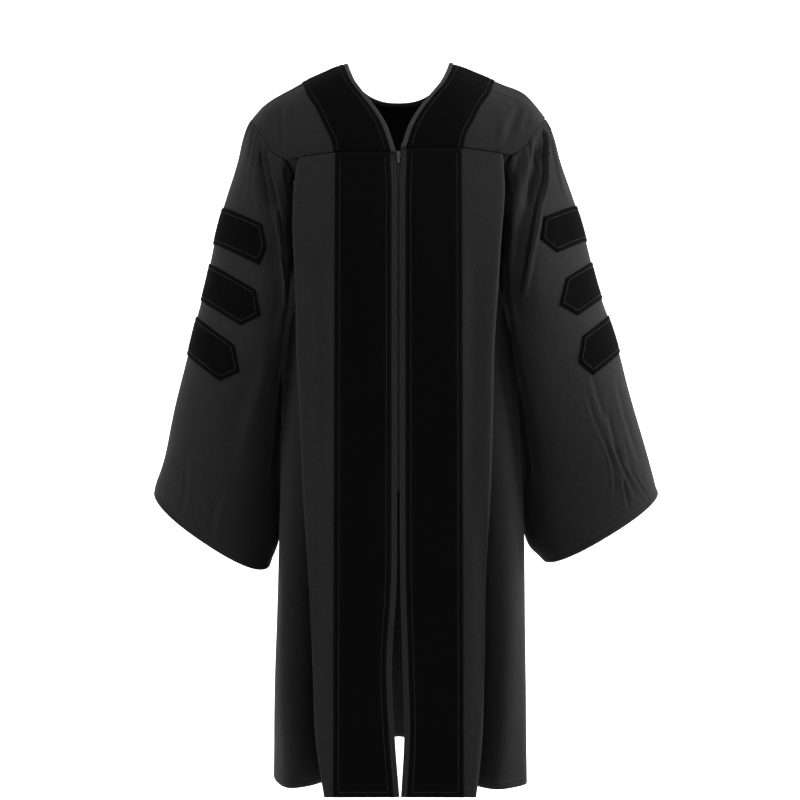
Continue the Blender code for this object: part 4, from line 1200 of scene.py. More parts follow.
@dataclass(frozen=True)
class Finish:
    """A real material: name, colours, and what its surface does to light."""

    name: str
    colour: str
    second_colour: str
    roughness: float

    def shader(
        self, values: Optional[Mapping[str, object]] = None
    ) -> tuple[bpy.types.Material, bpy.types.NodeTree, bpy.types.Node]:
        """Start the material.

        Args:
            values: Value of each named input of its Principled shader.

        Returns:
            A new material with its node tree and shader.
        """
        material = bpy.data.materials.new(self.name)
        material.use_nodes = True
        material.diffuse_color = linear(self.colour)
        shader = material.node_tree.nodes["Principled BSDF"]
        for name, value in {"Roughness": self.roughness, **(values or {})}.items():
            shader.inputs[name].default_value = value
        return material, material.node_tree, shader

    def tone(self, tree: bpy.types.NodeTree, factor: bpy.types.NodeSocket) -> bpy.types.NodeSocket:
        """Socket with the finish's two colours, mixed by a factor."""
        colours = {"A": linear(self.colour), "B": linear(self.second_colour)}
        mix = add_node(tree, "ShaderNodeMix", colours, {"Factor": factor}, data_type="RGBA")
        return mix.outputs["Result"]

    def dress(
        self, tree: bpy.types.NodeTree, shader: bpy.types.Node, colour: bpy.types.NodeSocket,
        normal: Optional[bpy.types.NodeSocket] = None,
    ) -> None:
        """Link a colour and a relief to the shader.

        Args:
            tree: Node tree of the material.
            shader: Its Principled shader.
            colour: Socket with the colour.
            normal: Socket with the normal.
        """
        tree.links.new(colour, shader.inputs["Base Color"])
        if normal is not None:
            tree.links.new(normal, shader.inputs["Normal"])

    def material(self) -> bpy.types.Material:
        """The finished material, made once."""
        return bpy.data.materials.get(self.name) or self.make()

    def make(self) -> bpy.types.Material:
        """Make the material."""
        raise NotImplementedError


@dataclass(frozen=True)
class PlainWeave(Finish):
    """Matt black polyester, piece-dyed and pressed: a dry face with a low sheen.

    The threads are 0.4 mm apart. They are drawn 1.6 mm apart, because finer
    ones would not show, so that near views still read as woven. Painted shade
    darkens the face in the gaps between threads, and a painted highlight makes
    it paler on the threads.
    """

    thread_mm: float = 1.6
    slub_mm: float = 4.0
    crumple_mm: float = 22.0
    mottle_mm: float = 140.0
    sheen: float = 0.03
    sheen_roughness: float = 0.45
    gloss: float = 0.12
    # Colour factors of the painted shade in the weave's gaps and of the painted highlight on its threads
    gap_shade: float = 0.40
    thread_shade: float = 1.55

    def make(self) -> bpy.types.Material:
        """Make the cloth: mottled dye, fine weave with painted shade and highlight, soft crumples."""
        material, tree, shader = self.shader({
            "Sheen Weight": self.sheen, "Sheen Roughness": self.sheen_roughness,
            "Specular IOR Level": self.gloss,
        })
        place, cloth = place_on(tree), place_on(tree, "UV")
        warp, weft = (bands(tree, cloth, self.thread_mm, 0.6, axis, 1.0) for axis in "XY")
        crossed = add_node(tree, "ShaderNodeMath", None, {"0": warp, "1": weft}, operation="MULTIPLY")
        slubs = {"0": crossed.outputs["Value"], "1": noise(tree, place, self.slub_mm, 2.0, 0.7)}
        weave = add_node(tree, "ShaderNodeMath", None, slubs, operation="ADD").outputs["Value"]
        # Painted shade and highlight: the weave darkens the colour in its gaps and lightens it on its
        # threads
        shades = {"From Min": 0.3, "From Max": 1.3, "To Min": self.gap_shade, "To Max": self.thread_shade}
        gaps = add_node(tree, "ShaderNodeMapRange", shades, {"Value": weave}).outputs["Result"]
        # The dye's mottled tone, times the weave's painted shade and highlight
        dyed = {"0": self.tone(tree, noise(tree, place, self.mottle_mm, 4.0, 0.6)), "1": gaps}
        shaded = add_node(tree, "ShaderNodeVectorMath", None, dyed, operation="MULTIPLY").outputs["Vector"]
        crumples = relief(tree, noise(tree, place, self.crumple_mm, 3.0, 0.5), 0.25, 0.004)
        self.dress(tree, shader, shaded, relief(tree, weave, 0.35, 0.0005, crumples))
        return material


@dataclass(frozen=True)
class CutVelvet(Finish):
    """Cotton velvet, its pile cut and brushed downward: deep black with hardly any shine.

    The pile's tufts are 0.5 mm apart and are drawn 1.4 mm apart to show.
    """

    tuft_mm: float = 1.4
    nap_mm: float = 55.0
    nap_stretch: float = 0.35
    sheen: float = 0.012
    sheen_roughness: float = 0.35
    sheen_tint: str = "6a6a6c"
    gloss: float = 0.04

    def make(self) -> bpy.types.Material:
        """Make the velvet: brushed patches over fine pile."""
        material, tree, shader = self.shader({
            "Sheen Weight": self.sheen, "Sheen Roughness": self.sheen_roughness,
            "Sheen Tint": linear(self.sheen_tint), "Specular IOR Level": self.gloss,
        })
        place = place_on(tree)
        stretch = {"Scale": (1.0, 1.0, self.nap_stretch)}
        brushed = add_node(tree, "ShaderNodeMapping", stretch, {"Vector": place}).outputs["Vector"]
        nap = noise(tree, brushed, self.nap_mm, 5.0, 0.65)
        pile = noise(tree, place, self.tuft_mm, 2.0, 0.7)
        self.dress(tree, shader, self.tone(tree, nap), relief(tree, pile, 0.35, 0.0006))
        return material


@dataclass(frozen=True)
class SpunThread(Finish):
    """Polyester sewing thread, twisted from two plies, a little glossier than cloth."""

    twist_mm: float = 0.7

    def make(self) -> bpy.types.Material:
        """Make the thread: slanting plies along each stitch."""
        material, tree, shader = self.shader()
        ply = bands(tree, place_on(tree), self.twist_mm, 0.3, "DIAGONAL")
        self.dress(tree, shader, self.tone(tree, ply), relief(tree, ply, 0.4, 0.0002))
        return material


@dataclass(frozen=True)
class TapeWeave(Finish):
    """Polyester zip tape, woven in a fine herringbone: slightly ribbed along its length."""

    rib_mm: float = 1.2
    sheen: float = 0.03
    gloss: float = 0.2

    def make(self) -> bpy.types.Material:
        """Make the tape: ribs along the zip."""
        material, tree, shader = self.shader({"Sheen Weight": self.sheen, "Specular IOR Level": self.gloss})
        rib = bands(tree, place_on(tree), self.rib_mm, 0.4, "X")
        self.dress(tree, shader, self.tone(tree, rib), relief(tree, rib, 0.3, 0.0003))
        return material


@dataclass(frozen=True)
class CastZinc(Finish):
    """Zinc alloy, die-cast, tumbled and plated dark: soft highlights, rubbed edges."""

    wear_mm: float = 2.4
    smoother: float = 0.08
    rougher: float = 0.12

    def make(self) -> bpy.types.Material:
        """Make the metal: plating rubbed unevenly bright."""
        material, tree, shader = self.shader({"Metallic": 1.0})
        wear = noise(tree, place_on(tree), self.wear_mm, 4.0, 0.7)
        low, high = self.roughness - self.smoother, self.roughness + self.rougher
        spread = {"From Min": 0.3, "From Max": 0.7, "To Min": low, "To Max": high}
        rough = add_node(tree, "ShaderNodeMapRange", spread, {"Value": wear}).outputs["Result"]
        tree.links.new(rough, shader.inputs["Roughness"])
        self.dress(tree, shader, self.tone(tree, wear), relief(tree, wear, 0.15, 0.0001))
        return material


@dataclass(frozen=True)
class Backdrop(Finish):
    """Seamless paper, rolled and uncoated: matt, pale and without texture at this distance."""

    glow: float = 0.9
    glow_start: float = 0.35
    grains_per_metre: float = 300.0
    gloss: float = 0.1

    def make(self) -> bpy.types.Material:
        """Make the paper: a faint grain, and white behind the gown as if lit by its own lamps."""
        material, tree, shader = self.shader({
            "Specular IOR Level": self.gloss, "Emission Color": linear(self.second_colour),
        })
        place = place_on(tree)
        split = add_node(tree, "ShaderNodeSeparateXYZ", None, {"Vector": place})
        rise = {"From Min": 0.0, "From Max": self.glow_start, "To Max": self.glow}
        behind = add_node(tree, "ShaderNodeMapRange", rise, {"Value": split.outputs["Y"]})
        tree.links.new(behind.outputs["Result"], shader.inputs["Emission Strength"])
        grain = noise(tree, place, 1000 / self.grains_per_metre, 2.0, 0.5)
        self.dress(tree, shader, self.tone(tree, grain))
        return material


GOWN_CLOTH = PlainWeave("polyester_plain_weave", "151517", "1b1b1c", 0.82)
BINDING_CLOTH = PlainWeave("polyester_binding", "27272a", "2f2f31", 0.80, crumple_mm=12.0)
VELVET = CutVelvet("cut_pile_velvet", "030303", "050505", 0.95)
THREAD = SpunThread("polyester_thread", "0f0f0f", "181818", 0.65)
BAR_THREAD = SpunThread("polyester_bar_thread", "202020", "2e2e2e", 0.6)
TAPE = TapeWeave("woven_zip_tape", "080808", "0e0e0e", 0.7)
COIL = SpunThread("nylon_zip_coil", "141414", "232323", 0.35, twist_mm=3.0)
ZINC = CastZinc("die_cast_zinc", "5a5a5d", "85858a", 0.32)
PAPER = Backdrop("seamless_paper", "f4f4f4", "f8f8f8", 0.9)


# Meshes


def place_piece(
    mesh: bpy.types.Mesh, name: str, finish: Finish, replaced: Sequence[str] = (),
    body: str = GOWN_BODY,
) -> bpy.types.Object:
    """Put a mesh in the scene as a piece that rides on a body.

    Args:
        mesh: The mesh.
        name: Name of the piece.
        finish: Its finish.
        replaced: Solids that the piece stands for.
        body: Body that it rides on.

    Returns:
        The piece.
    """
    mesh.materials.append(finish.material())
    mesh.shade_smooth()
    piece = bpy.data.objects.new(name, mesh)
    bpy.context.scene.collection.objects.link(piece)
    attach(piece, body)
    if replaced:
        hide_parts(*replaced)
    LOG.info("%s: %d faces", name, len(mesh.polygons))
    return piece


def shell_mesh(
    grid: ClothGrid, thickness: float | np.ndarray, outward: bool, name: str
) -> bpy.types.Mesh:
    """A closed wall between a sheet and the same sheet moved along its normals.

    Args:
        grid: The sheet, which is the outer face unless outward is set.
        thickness: Thickness of the cloth.
        outward: Whether the wall grows away from the wearer.
        name: Name of the mesh.

    Returns:
        The mesh, with a UV map in metres along the cloth.
    """
    moved = grid.push(thickness if outward else -thickness).points
    outer, inner = (moved, grid.points) if outward else (grid.points, moved)
    rows, columns = outer.shape[:2]
    spans = columns if grid.closed else columns - 1
    i, j = np.meshgrid(np.arange(rows - 1), np.arange(spans), indexing="ij")
    k = (j + 1) % columns
    corners = ((i, j), (i, k), (i + 1, k), (i + 1, j))
    face = np.stack([(a * columns + b).ravel() for a, b in corners], axis=1)
    total = rows * columns
    front = face if grid.facing > 0 else face[:, ::-1]
    back = (face if grid.facing < 0 else face[:, ::-1]) + total
    rims = []

    def add_rim(a: np.ndarray, b: np.ndarray, turned: bool) -> None:
        """Add the faces between an edge of the outer face and the inner one's."""
        first, second = (b, a) if turned else (a, b)
        rims.append(np.stack([first, second, second + total, first + total], axis=1))

    row_steps = np.arange(spans)
    for row, turned in ((0, False), (rows - 1, True)):
        a = row * columns + row_steps
        b = row * columns + (row_steps + 1) % columns
        add_rim(a, b, turned)
    if not grid.closed:
        column_steps = np.arange(rows - 1)
        for column, turned in ((0, True), (columns - 1, False)):
            a = column_steps * columns + column
            add_rim(a, a + columns, turned)
    rim = np.concatenate(rims)
    rim = rim[:, ::-1] if grid.facing > 0 else rim
    faces = np.concatenate([front, back, rim])
    mesh = bpy.data.meshes.new(name)
    vertices = np.concatenate([outer.reshape(-1, 3), inner.reshape(-1, 3)])
    mesh.from_pydata(vertices.tolist(), [], faces.tolist())
    widths, lengths = grid.widths(), grid.lengths()
    middle = widths[:, columns // 2][:, None]
    flat = np.stack([(widths - middle).ravel(), lengths.ravel()], axis=1)
    flat = np.concatenate([flat, flat])
    layer = mesh.uv_layers.new(name="cloth")
    loops = np.empty(len(mesh.loops), dtype=np.int32)
    mesh.loops.foreach_get("vertex_index", loops)
    layer.data.foreach_set("uv", flat[loops].ravel())
    return mesh


def stitch_mesh(
    paths: Sequence[np.ndarray], length: float, gap: float, radius: float, name: str
) -> bpy.types.Mesh:
    """Rows of stitches that lie along lines of points.

    Args:
        paths: Lines of points on the cloth's face.
        length: Length of one stitch.
        gap: Distance between stitches.
        radius: Radius of the thread.
        name: Name of the mesh.

    Returns:
        The mesh of all stitches.
    """
    vertices: list[Row] = []
    faces: list[tuple[int, ...]] = []
    sides = 5
    rings = ((0.0, 0.35), (0.2, 0.9), (0.5, 1.0), (0.8, 0.9), (1.0, 0.35))
    for path in paths:
        steps = np.linalg.norm(np.diff(path, axis=0), axis=1)
        places = np.concatenate([[0.0], np.cumsum(steps)])
        start = gap / 2
        while start + length < places[-1]:
            ends = np.array([
                [np.interp(start + length * part, places, path[:, axis]) for axis in range(3)]
                for part, _ in rings
            ])
            line = Vector(ends[-1] - ends[0]).normalized()
            aside = line.orthogonal().normalized()
            other = line.cross(aside)
            first = len(vertices)
            for (part, size), centre in zip(rings, ends):
                for k in range(sides):
                    turn = math.tau * k / sides
                    spoke = (aside * math.cos(turn) + other * math.sin(turn)) * radius * size
                    vertices.append(tuple(Vector(centre) + spoke))
            for ring in range(len(rings) - 1):
                for k in range(sides):
                    a = first + ring * sides + k
                    b = first + ring * sides + (k + 1) % sides
                    faces.append((a, b, b + sides, a + sides))
            faces.append(tuple(first + k for k in reversed(range(sides))))
            faces.append(tuple(first + (len(rings) - 1) * sides + k for k in range(sides)))
            start += length + gap
    mesh = bpy.data.meshes.new(name)
    mesh.from_pydata(vertices, [], faces)
    return mesh


def hollow(distance: np.ndarray, depth: float, width: float) -> np.ndarray:
    """Height of a sewn-in groove at a distance from its line."""
    return -depth * np.exp(-((distance / width) ** 2))


def edge_line(grid: ClothGrid, edge: Edge, inset: float, short: float) -> np.ndarray:
    """A line along a sheet at a fixed distance from one of its edges.

    Args:
        grid: The sheet.
        edge: The edge.
        inset: Distance from the edge.
        short: Length cut off each end of the line.

    Returns:
        Points of the line.
    """
    sideways = edge in (Edge.FIRST, Edge.LAST)
    strands = grid.points if sideways else grid.points.transpose(1, 0, 2)
    measures = grid.widths() if sideways else grid.lengths().T
    line = []
    for strand, measure in zip(strands, measures):
        place = measure[-1] - inset if edge in (Edge.LAST, Edge.HEM) else inset
        line.append([np.interp(place, measure, strand[:, axis]) for axis in range(3)])
    if grid.closed and not sideways:
        line.append(line[0])
    points = np.array(line)
    steps = np.linalg.norm(np.diff(points, axis=0), axis=1)
    places = np.concatenate([[0.0], np.cumsum(steps)])
    wanted = np.linspace(short, places[-1] - short, max(2, len(points)))
    return np.stack([np.interp(wanted, places, points[:, axis]) for axis in range(3)], axis=1)


# Sub-assemblies


PANEL_TOP = Allowance(Edge.TOP, 0.009, 12.0, 0.0021)
PANEL_SIDE = Allowance(Edge.LAST, 0.008, 35.0)
YOKE_SHOULDER = Allowance(Edge.TOP, 0.006, 15.0)
YOKE_ARMHOLE = Allowance(Edge.LAST, 0.006, 35.0)
YOKE_NECK = Allowance(Edge.FIRST, 0.004, 15.0, 0.0022)
BACK_PANEL_TOP = Allowance(Edge.TOP, 0.010, 60.0)
SLEEVE_TOP = Allowance(Edge.TOP, 0.011, 50.0, 0.0012)

# Labels of the first and last column of a part of a sheet
STRIP_COLUMNS: Pair = (0.0, 1.0)
FACING_COLUMNS: Pair = (1.0, 5.0)
PLAIN_COLUMNS: Pair = (5.2, 17.0)
YOKE_FACING_COLUMNS: Pair = (0.0, 4.0)


@dataclass(frozen=True)
class Sewing:
    """Cloth thicknesses, seams and stitches that all pieces share."""

    cloth: float = 0.0012
    velvet: float = 0.0016
    lay_gap: float = 0.00035
    stitch: float = 0.0030
    stitch_gap: float = 0.0009
    thread: float = 0.00028
    inset: float = 0.009
    groove: float = 0.0007
    groove_width: float = 0.0016
    edge_round: float = 0.0016
    edge_share: float = 0.35
    hem: float = 0.014
    hem_groove: float = 0.0006
    hem_groove_width: float = 0.0018
    seam_groove: float = 0.0005
    seam_groove_width: float = 0.002
    line_end: float = 0.004
    seam_end: float = 0.001

    def rounded(self, distance: np.ndarray) -> np.ndarray:
        """Share of the full thickness at a distance from an edge."""
        share = np.clip(distance / self.edge_round, 0.0, 1.0)
        return self.edge_share + (1 - self.edge_share) * np.sqrt(1 - (1 - share) ** 2)

    def at_seam(self, distance: np.ndarray) -> np.ndarray:
        """Height of cloth that is pressed down at a distance from a seam."""
        return hollow(distance, self.seam_groove, self.seam_groove_width)

    def at_hem(self, lengths: np.ndarray) -> np.ndarray:
        """Height of cloth that is pulled in along its hem's stitches."""
        return hollow(lengths[-1:] - lengths - self.hem, self.hem_groove, self.hem_groove_width)

    def velvet_thickness(self, grid: ClothGrid, free: Sequence[Edge]) -> np.ndarray:
        """Thickness of a velvet piece with rounded edges and sewn-in stitch lines.

        Args:
            grid: The piece's sheet.
            free: Which of its top and hem are free edges.

        Returns:
            Thickness at each point.
        """
        widths, lengths = grid.widths(), grid.lengths()
        ends = {Edge.TOP: lengths, Edge.HEM: lengths[-1:] - lengths}
        nearest = np.minimum.reduce([widths, widths[:, -1:] - widths, *(ends[edge] for edge in free)])
        thickness = self.velvet * self.rounded(nearest)
        return thickness + hollow(nearest - self.inset, self.groove, self.groove_width)

    def stitches(
        self, paths: Sequence[np.ndarray], name: str, slot: str, finish: Finish = THREAD
    ) -> bpy.types.Object:
        """Sew stitches along lines, as one piece.

        Args:
            paths: The lines.
            name: Name of the piece.
            slot: The record's material slot of the cloth they are in; not used.
            finish: Finish of the thread.

        Returns:
            The piece.
        """
        mesh = stitch_mesh(paths, self.stitch, self.stitch_gap, self.thread, name)
        return place_piece(mesh, name, finish)

    def gown_cloth(
        self, sheet: ClothGrid, name: str, node: str, allowances: Sequence[Allowance]
    ) -> bpy.types.Object:
        """Make a piece of gown cloth, with its seam allowances.

        Args:
            sheet: Its outer face.
            name: Name of the piece.
            node: Solid that it stands for.
            allowances: Its seam allowances, in the order in which they are turned in.

        Returns:
            The piece.
        """
        for allowance in allowances:
            sheet = sheet.tucked(allowance)
        mesh = shell_mesh(sheet, self.cloth, False, name)
        return place_piece(mesh, name, GOWN_CLOTH, (node,))

    def velvet_piece(
        self, base: ClothGrid, names: tuple[str, str, str], under: str, free: Sequence[Edge],
        short: float, thread: Finish = THREAD,
    ) -> None:
        """Make a velvet piece that is sewn down along its edges.

        Args:
            base: Its sheet, just clear of the cloth under it.
            names: Name of the piece, of its stitching and of the solid that it stands for.
            under: Piece that it lies on; not used.
            free: Which of its top and hem are free edges, and stitched down too.
            short: Length by which each line of stitches ends before the piece does.
            thread: Finish of the thread.
        """
        name, stitching, node = names
        thickness = self.velvet_thickness(base, free)
        mesh = shell_mesh(base, thickness, True, name)
        piece = place_piece(mesh, name, VELVET, (node,))
        face = base.push(thickness)
        lines = [edge_line(face, edge, self.inset, short) for edge in (Edge.FIRST, Edge.LAST, *free)]
        sewn = self.stitches(lines, stitching, "cotton_velvet", thread)
        declare(base)


def declare(
    grid: ClothGrid,
) -> None:
    """Work out the cut of what shows of a piece of cloth; nothing more is done with it.

    Args:
        grid: Its sheet before creasing.
    """
    width, length, area = grid.cut()
    width, length = max(width, NARROWEST_CUT), max(length, NARROWEST_CUT)


@dataclass(frozen=True)
class Part:
    """A sub-assembly: it lies on the gown's form and is sewn as all of them are."""

    form: GownForm
    sewing: Sewing


@dataclass(frozen=True)
class SidePart(Part):
    """A sub-assembly that there is one of on each side."""

    side: Side
    creases: Sequence[Crease]


@dataclass(frozen=True)
class FrontPanel(SidePart):
    """One front panel with its velvet facing, its strip beside the zip and its hem."""

    step_across: float = 0.0042
    step_down: float = 0.0085
    strip_stitch: float = 0.0075
    end_fades: Pair = (0.06, 0.03)
    side_fades: Pair = (0.03, 0.02)
    facing_fade: float = 0.6
    wave_depth: float = 0.0012
    wave_size: float = 0.26

    def shape(self, sheet: ClothGrid) -> np.ndarray:
        """How far creases, seams and hem move the panel's cloth out or in.

        Args:
            sheet: The fine sheet.

        Returns:
            Movement outward of each point.
        """
        widths, lengths = sheet.widths(), sheet.lengths()
        down = np.broadcast_to(sheet.down[:, None], widths.shape)
        heights = crease_heights(self.creases, widths, down)
        seed = 11 if self.side is Side.LEFT else 12
        heights += self.wave_depth * soft_waves(widths, down, self.wave_size, seed)
        fade = faded(lengths, lengths[-1:], self.end_fades)
        heights *= fade * faded(widths, widths[:, -1:], self.side_fades)
        heights += self.sewing.at_seam(lengths)
        beyond = eased((sheet.across[None, :] - PLAIN_COLUMNS[0]) / self.facing_fade)
        return heights + self.sewing.at_hem(lengths) * beyond

    def build(self) -> None:
        """Build the panel, its facing and their stitching."""
        word, sewing = self.side.word, self.sewing
        fine = self.form.front_panel(self.side).refine(self.step_across, self.step_down)
        sheet = fine.push(self.shape(fine))
        cloth = sewing.gown_cloth(
            sheet, f"front_panel_cloth_{word}", f"front_panel_{word}", (PANEL_TOP, PANEL_SIDE)
        )
        hem = edge_line(sheet.columns(*PLAIN_COLUMNS), Edge.HEM, sewing.hem, sewing.line_end)
        strip = edge_line(sheet.columns(*STRIP_COLUMNS), Edge.FIRST, self.strip_stitch, sewing.line_end)
        seams = sewing.stitches([hem, strip], f"front_panel_stitching_{word}", "gown_cloth")
        declare(fine)
        names = (f"velvet_facing_{word}", f"velvet_facing_stitching_{word}", f"velvet_front_{word}")
        base = sheet.columns(*FACING_COLUMNS).push(sewing.lay_gap)
        sewing.velvet_piece(base, names, cloth.name, [Edge.HEM], sewing.inset)


@dataclass(frozen=True)
class FrontYoke(SidePart):
    """One front yoke with its velvet facing and the binding of its neckline."""

    step_across: float = 0.004
    step_down: float = 0.005
    end_fades: Pair = (0.02, 0.02)
    arm_fade: float = 0.012

    def build(self) -> None:
        """Build the yoke, its facing, its binding and their stitching."""
        word, sewing = self.side.word, self.sewing
        fine = self.form.front_yoke(self.side).refine(self.step_across, self.step_down)
        widths, lengths = fine.widths(), fine.lengths()
        from_arm, from_seam = widths[:, -1:] - widths, lengths[-1:] - lengths
        heights = crease_heights(self.creases, from_arm, lengths)
        heights *= faded(lengths, lengths[-1:], self.end_fades) * eased(from_arm / self.arm_fade)
        sheet = fine.push(heights + sewing.at_seam(from_seam))
        turned_in = (YOKE_SHOULDER, YOKE_ARMHOLE, YOKE_NECK)
        cloth = sewing.gown_cloth(sheet, f"front_yoke_cloth_{word}", f"front_yoke_{word}", turned_in)
        declare(fine)
        names = (f"velvet_yoke_facing_{word}", f"velvet_yoke_stitching_{word}", f"velvet_yoke_{word}")
        base = sheet.columns(*YOKE_FACING_COLUMNS).push(sewing.lay_gap)
        sewing.velvet_piece(base, names, cloth.name, [], sewing.seam_end)
        binding = NeckBinding(self.form, sewing)
        plain = self.form.front_binding(self.side)
        binding.build(plain, f"neckline_binding_{word}", f"neck_binding_{word}", cloth.name)


@dataclass(frozen=True)
class NeckBinding(Part):
    """A strip of the gown's cloth, folded round the neckline's edge and sewn down."""

    lift: float = 0.0017
    thickness: float = 0.0030
    step: float = 0.0012
    step_along: float = 0.005
    stitch_place: float = 0.80
    stitch_groove: float = 0.18
    stitch_groove_width: float = 0.07
    edge_share: float = 0.3

    def build(self, plain: ClothGrid, name: str, node: str, under: str) -> None:
        """Build one stretch of the binding.

        Args:
            plain: Its sheet, from the neckline outward.
            name: Name of the piece.
            node: Solid that it stands for.
            under: Piece that it is sewn to; not used.
        """
        fine = plain.refine(self.step, self.step_along)
        widths = fine.widths()
        share = widths / widths[:, -1:]
        roll = np.clip(1 - np.abs(2 * share - 1) ** 3, 0.0, 1.0) ** 0.5
        profile = self.edge_share + (1 - self.edge_share) * roll
        profile = profile + hollow(share - self.stitch_place, self.stitch_groove, self.stitch_groove_width)
        outer = fine.push(self.lift * profile)
        mesh = shell_mesh(outer, self.thickness * profile, False, name)
        piece = place_piece(mesh, name, BINDING_CLOTH, (node,))
        inset = float(widths[:, -1].mean()) * (1 - self.stitch_place)
        lines = [edge_line(outer, Edge.LAST, inset, self.sewing.seam_end)]
        sewn = self.sewing.stitches(lines, f"{name}_stitching", "gown_cloth")
        declare(fine)


@dataclass(frozen=True)
class Back(Part):
    """Back yoke with its velvet band and binding, and the fluted back panel."""

    creases: Sequence[Crease]
    yoke_step: float = 0.005
    panel_step_across: float = 0.0062
    panel_step_down: float = 0.010
    gather_depth: float = 0.0016
    gather_spacing: float = 0.011
    gather_reach: float = 0.055
    end_fades: Pair = (0.05, 0.03)
    side_fades: Pair = (0.02, 0.02)
    wave_depth: float = 0.0014
    wave_size: float = 0.22

    def build(self) -> None:
        """Build the yoke, the band, the binding and the panel."""
        sewing = self.sewing
        fine = self.form.round_the_back(self.form.yoke_line).refine(self.yoke_step, self.yoke_step)
        yoke = sewing.gown_cloth(fine, "back_yoke_cloth", "back_yoke", (YOKE_ARMHOLE, YOKE_NECK))
        declare(fine)
        names = ("velvet_neck_band", "velvet_neck_band_stitching", "velvet_back_neck")
        base = fine.columns(*YOKE_FACING_COLUMNS).push(sewing.lay_gap)
        sewing.velvet_piece(base, names, yoke.name, [], sewing.seam_end)
        binding = NeckBinding(self.form, sewing)
        plain = self.form.round_the_back(self.form.binding_line)
        binding.build(plain, "neckline_binding_back", "neck_binding_back", yoke.name)
        self.build_panel()

    def gathers(self, across: np.ndarray, lengths: np.ndarray) -> np.ndarray:
        """The panel's uneven gathers, which fade away below the yoke.

        Args:
            across: Distance of each point of the top from the middle.
            lengths: Distance of each point from the top.

        Returns:
            Movement outward of each point.
        """
        uneven = 0.35 * np.sin(across * 61.0) + 0.25 * np.sin(across * 143.0 + 1.0)
        ripple = np.sin(across / self.gather_spacing * math.tau + 2.2 * uneven)
        reach = self.gather_reach * (1 + 0.7 * uneven)
        return self.gather_depth * ripple * np.exp(-lengths / reach) * eased(lengths / 0.004)

    def build_panel(self) -> None:
        """Build the panel with the gathers under its yoke, its creases and hem."""
        fine = self.form.back_panel().refine(self.panel_step_across, self.panel_step_down)
        widths, lengths = fine.widths(), fine.lengths()
        across = widths - widths[:, [widths.shape[1] // 2]]
        down = np.broadcast_to(fine.down[:, None], widths.shape)
        heights = crease_heights(self.creases, across, down)
        heights += self.wave_depth * soft_waves(across, down, self.wave_size, 21)
        heights *= faded(lengths, lengths[-1:], self.end_fades)
        heights += self.gathers(across[0][None, :], lengths)
        heights *= faded(widths, widths[:, -1:], self.side_fades)
        sheet = fine.push(heights + self.sewing.at_hem(lengths))
        panel = self.sewing.gown_cloth(sheet, "back_panel_cloth", "back_panel", (BACK_PANEL_TOP,))
        hem = edge_line(sheet, Edge.HEM, self.sewing.hem, self.sewing.line_end)
        sewn = self.sewing.stitches([hem], "back_panel_stitching", "gown_cloth")
        declare(fine)


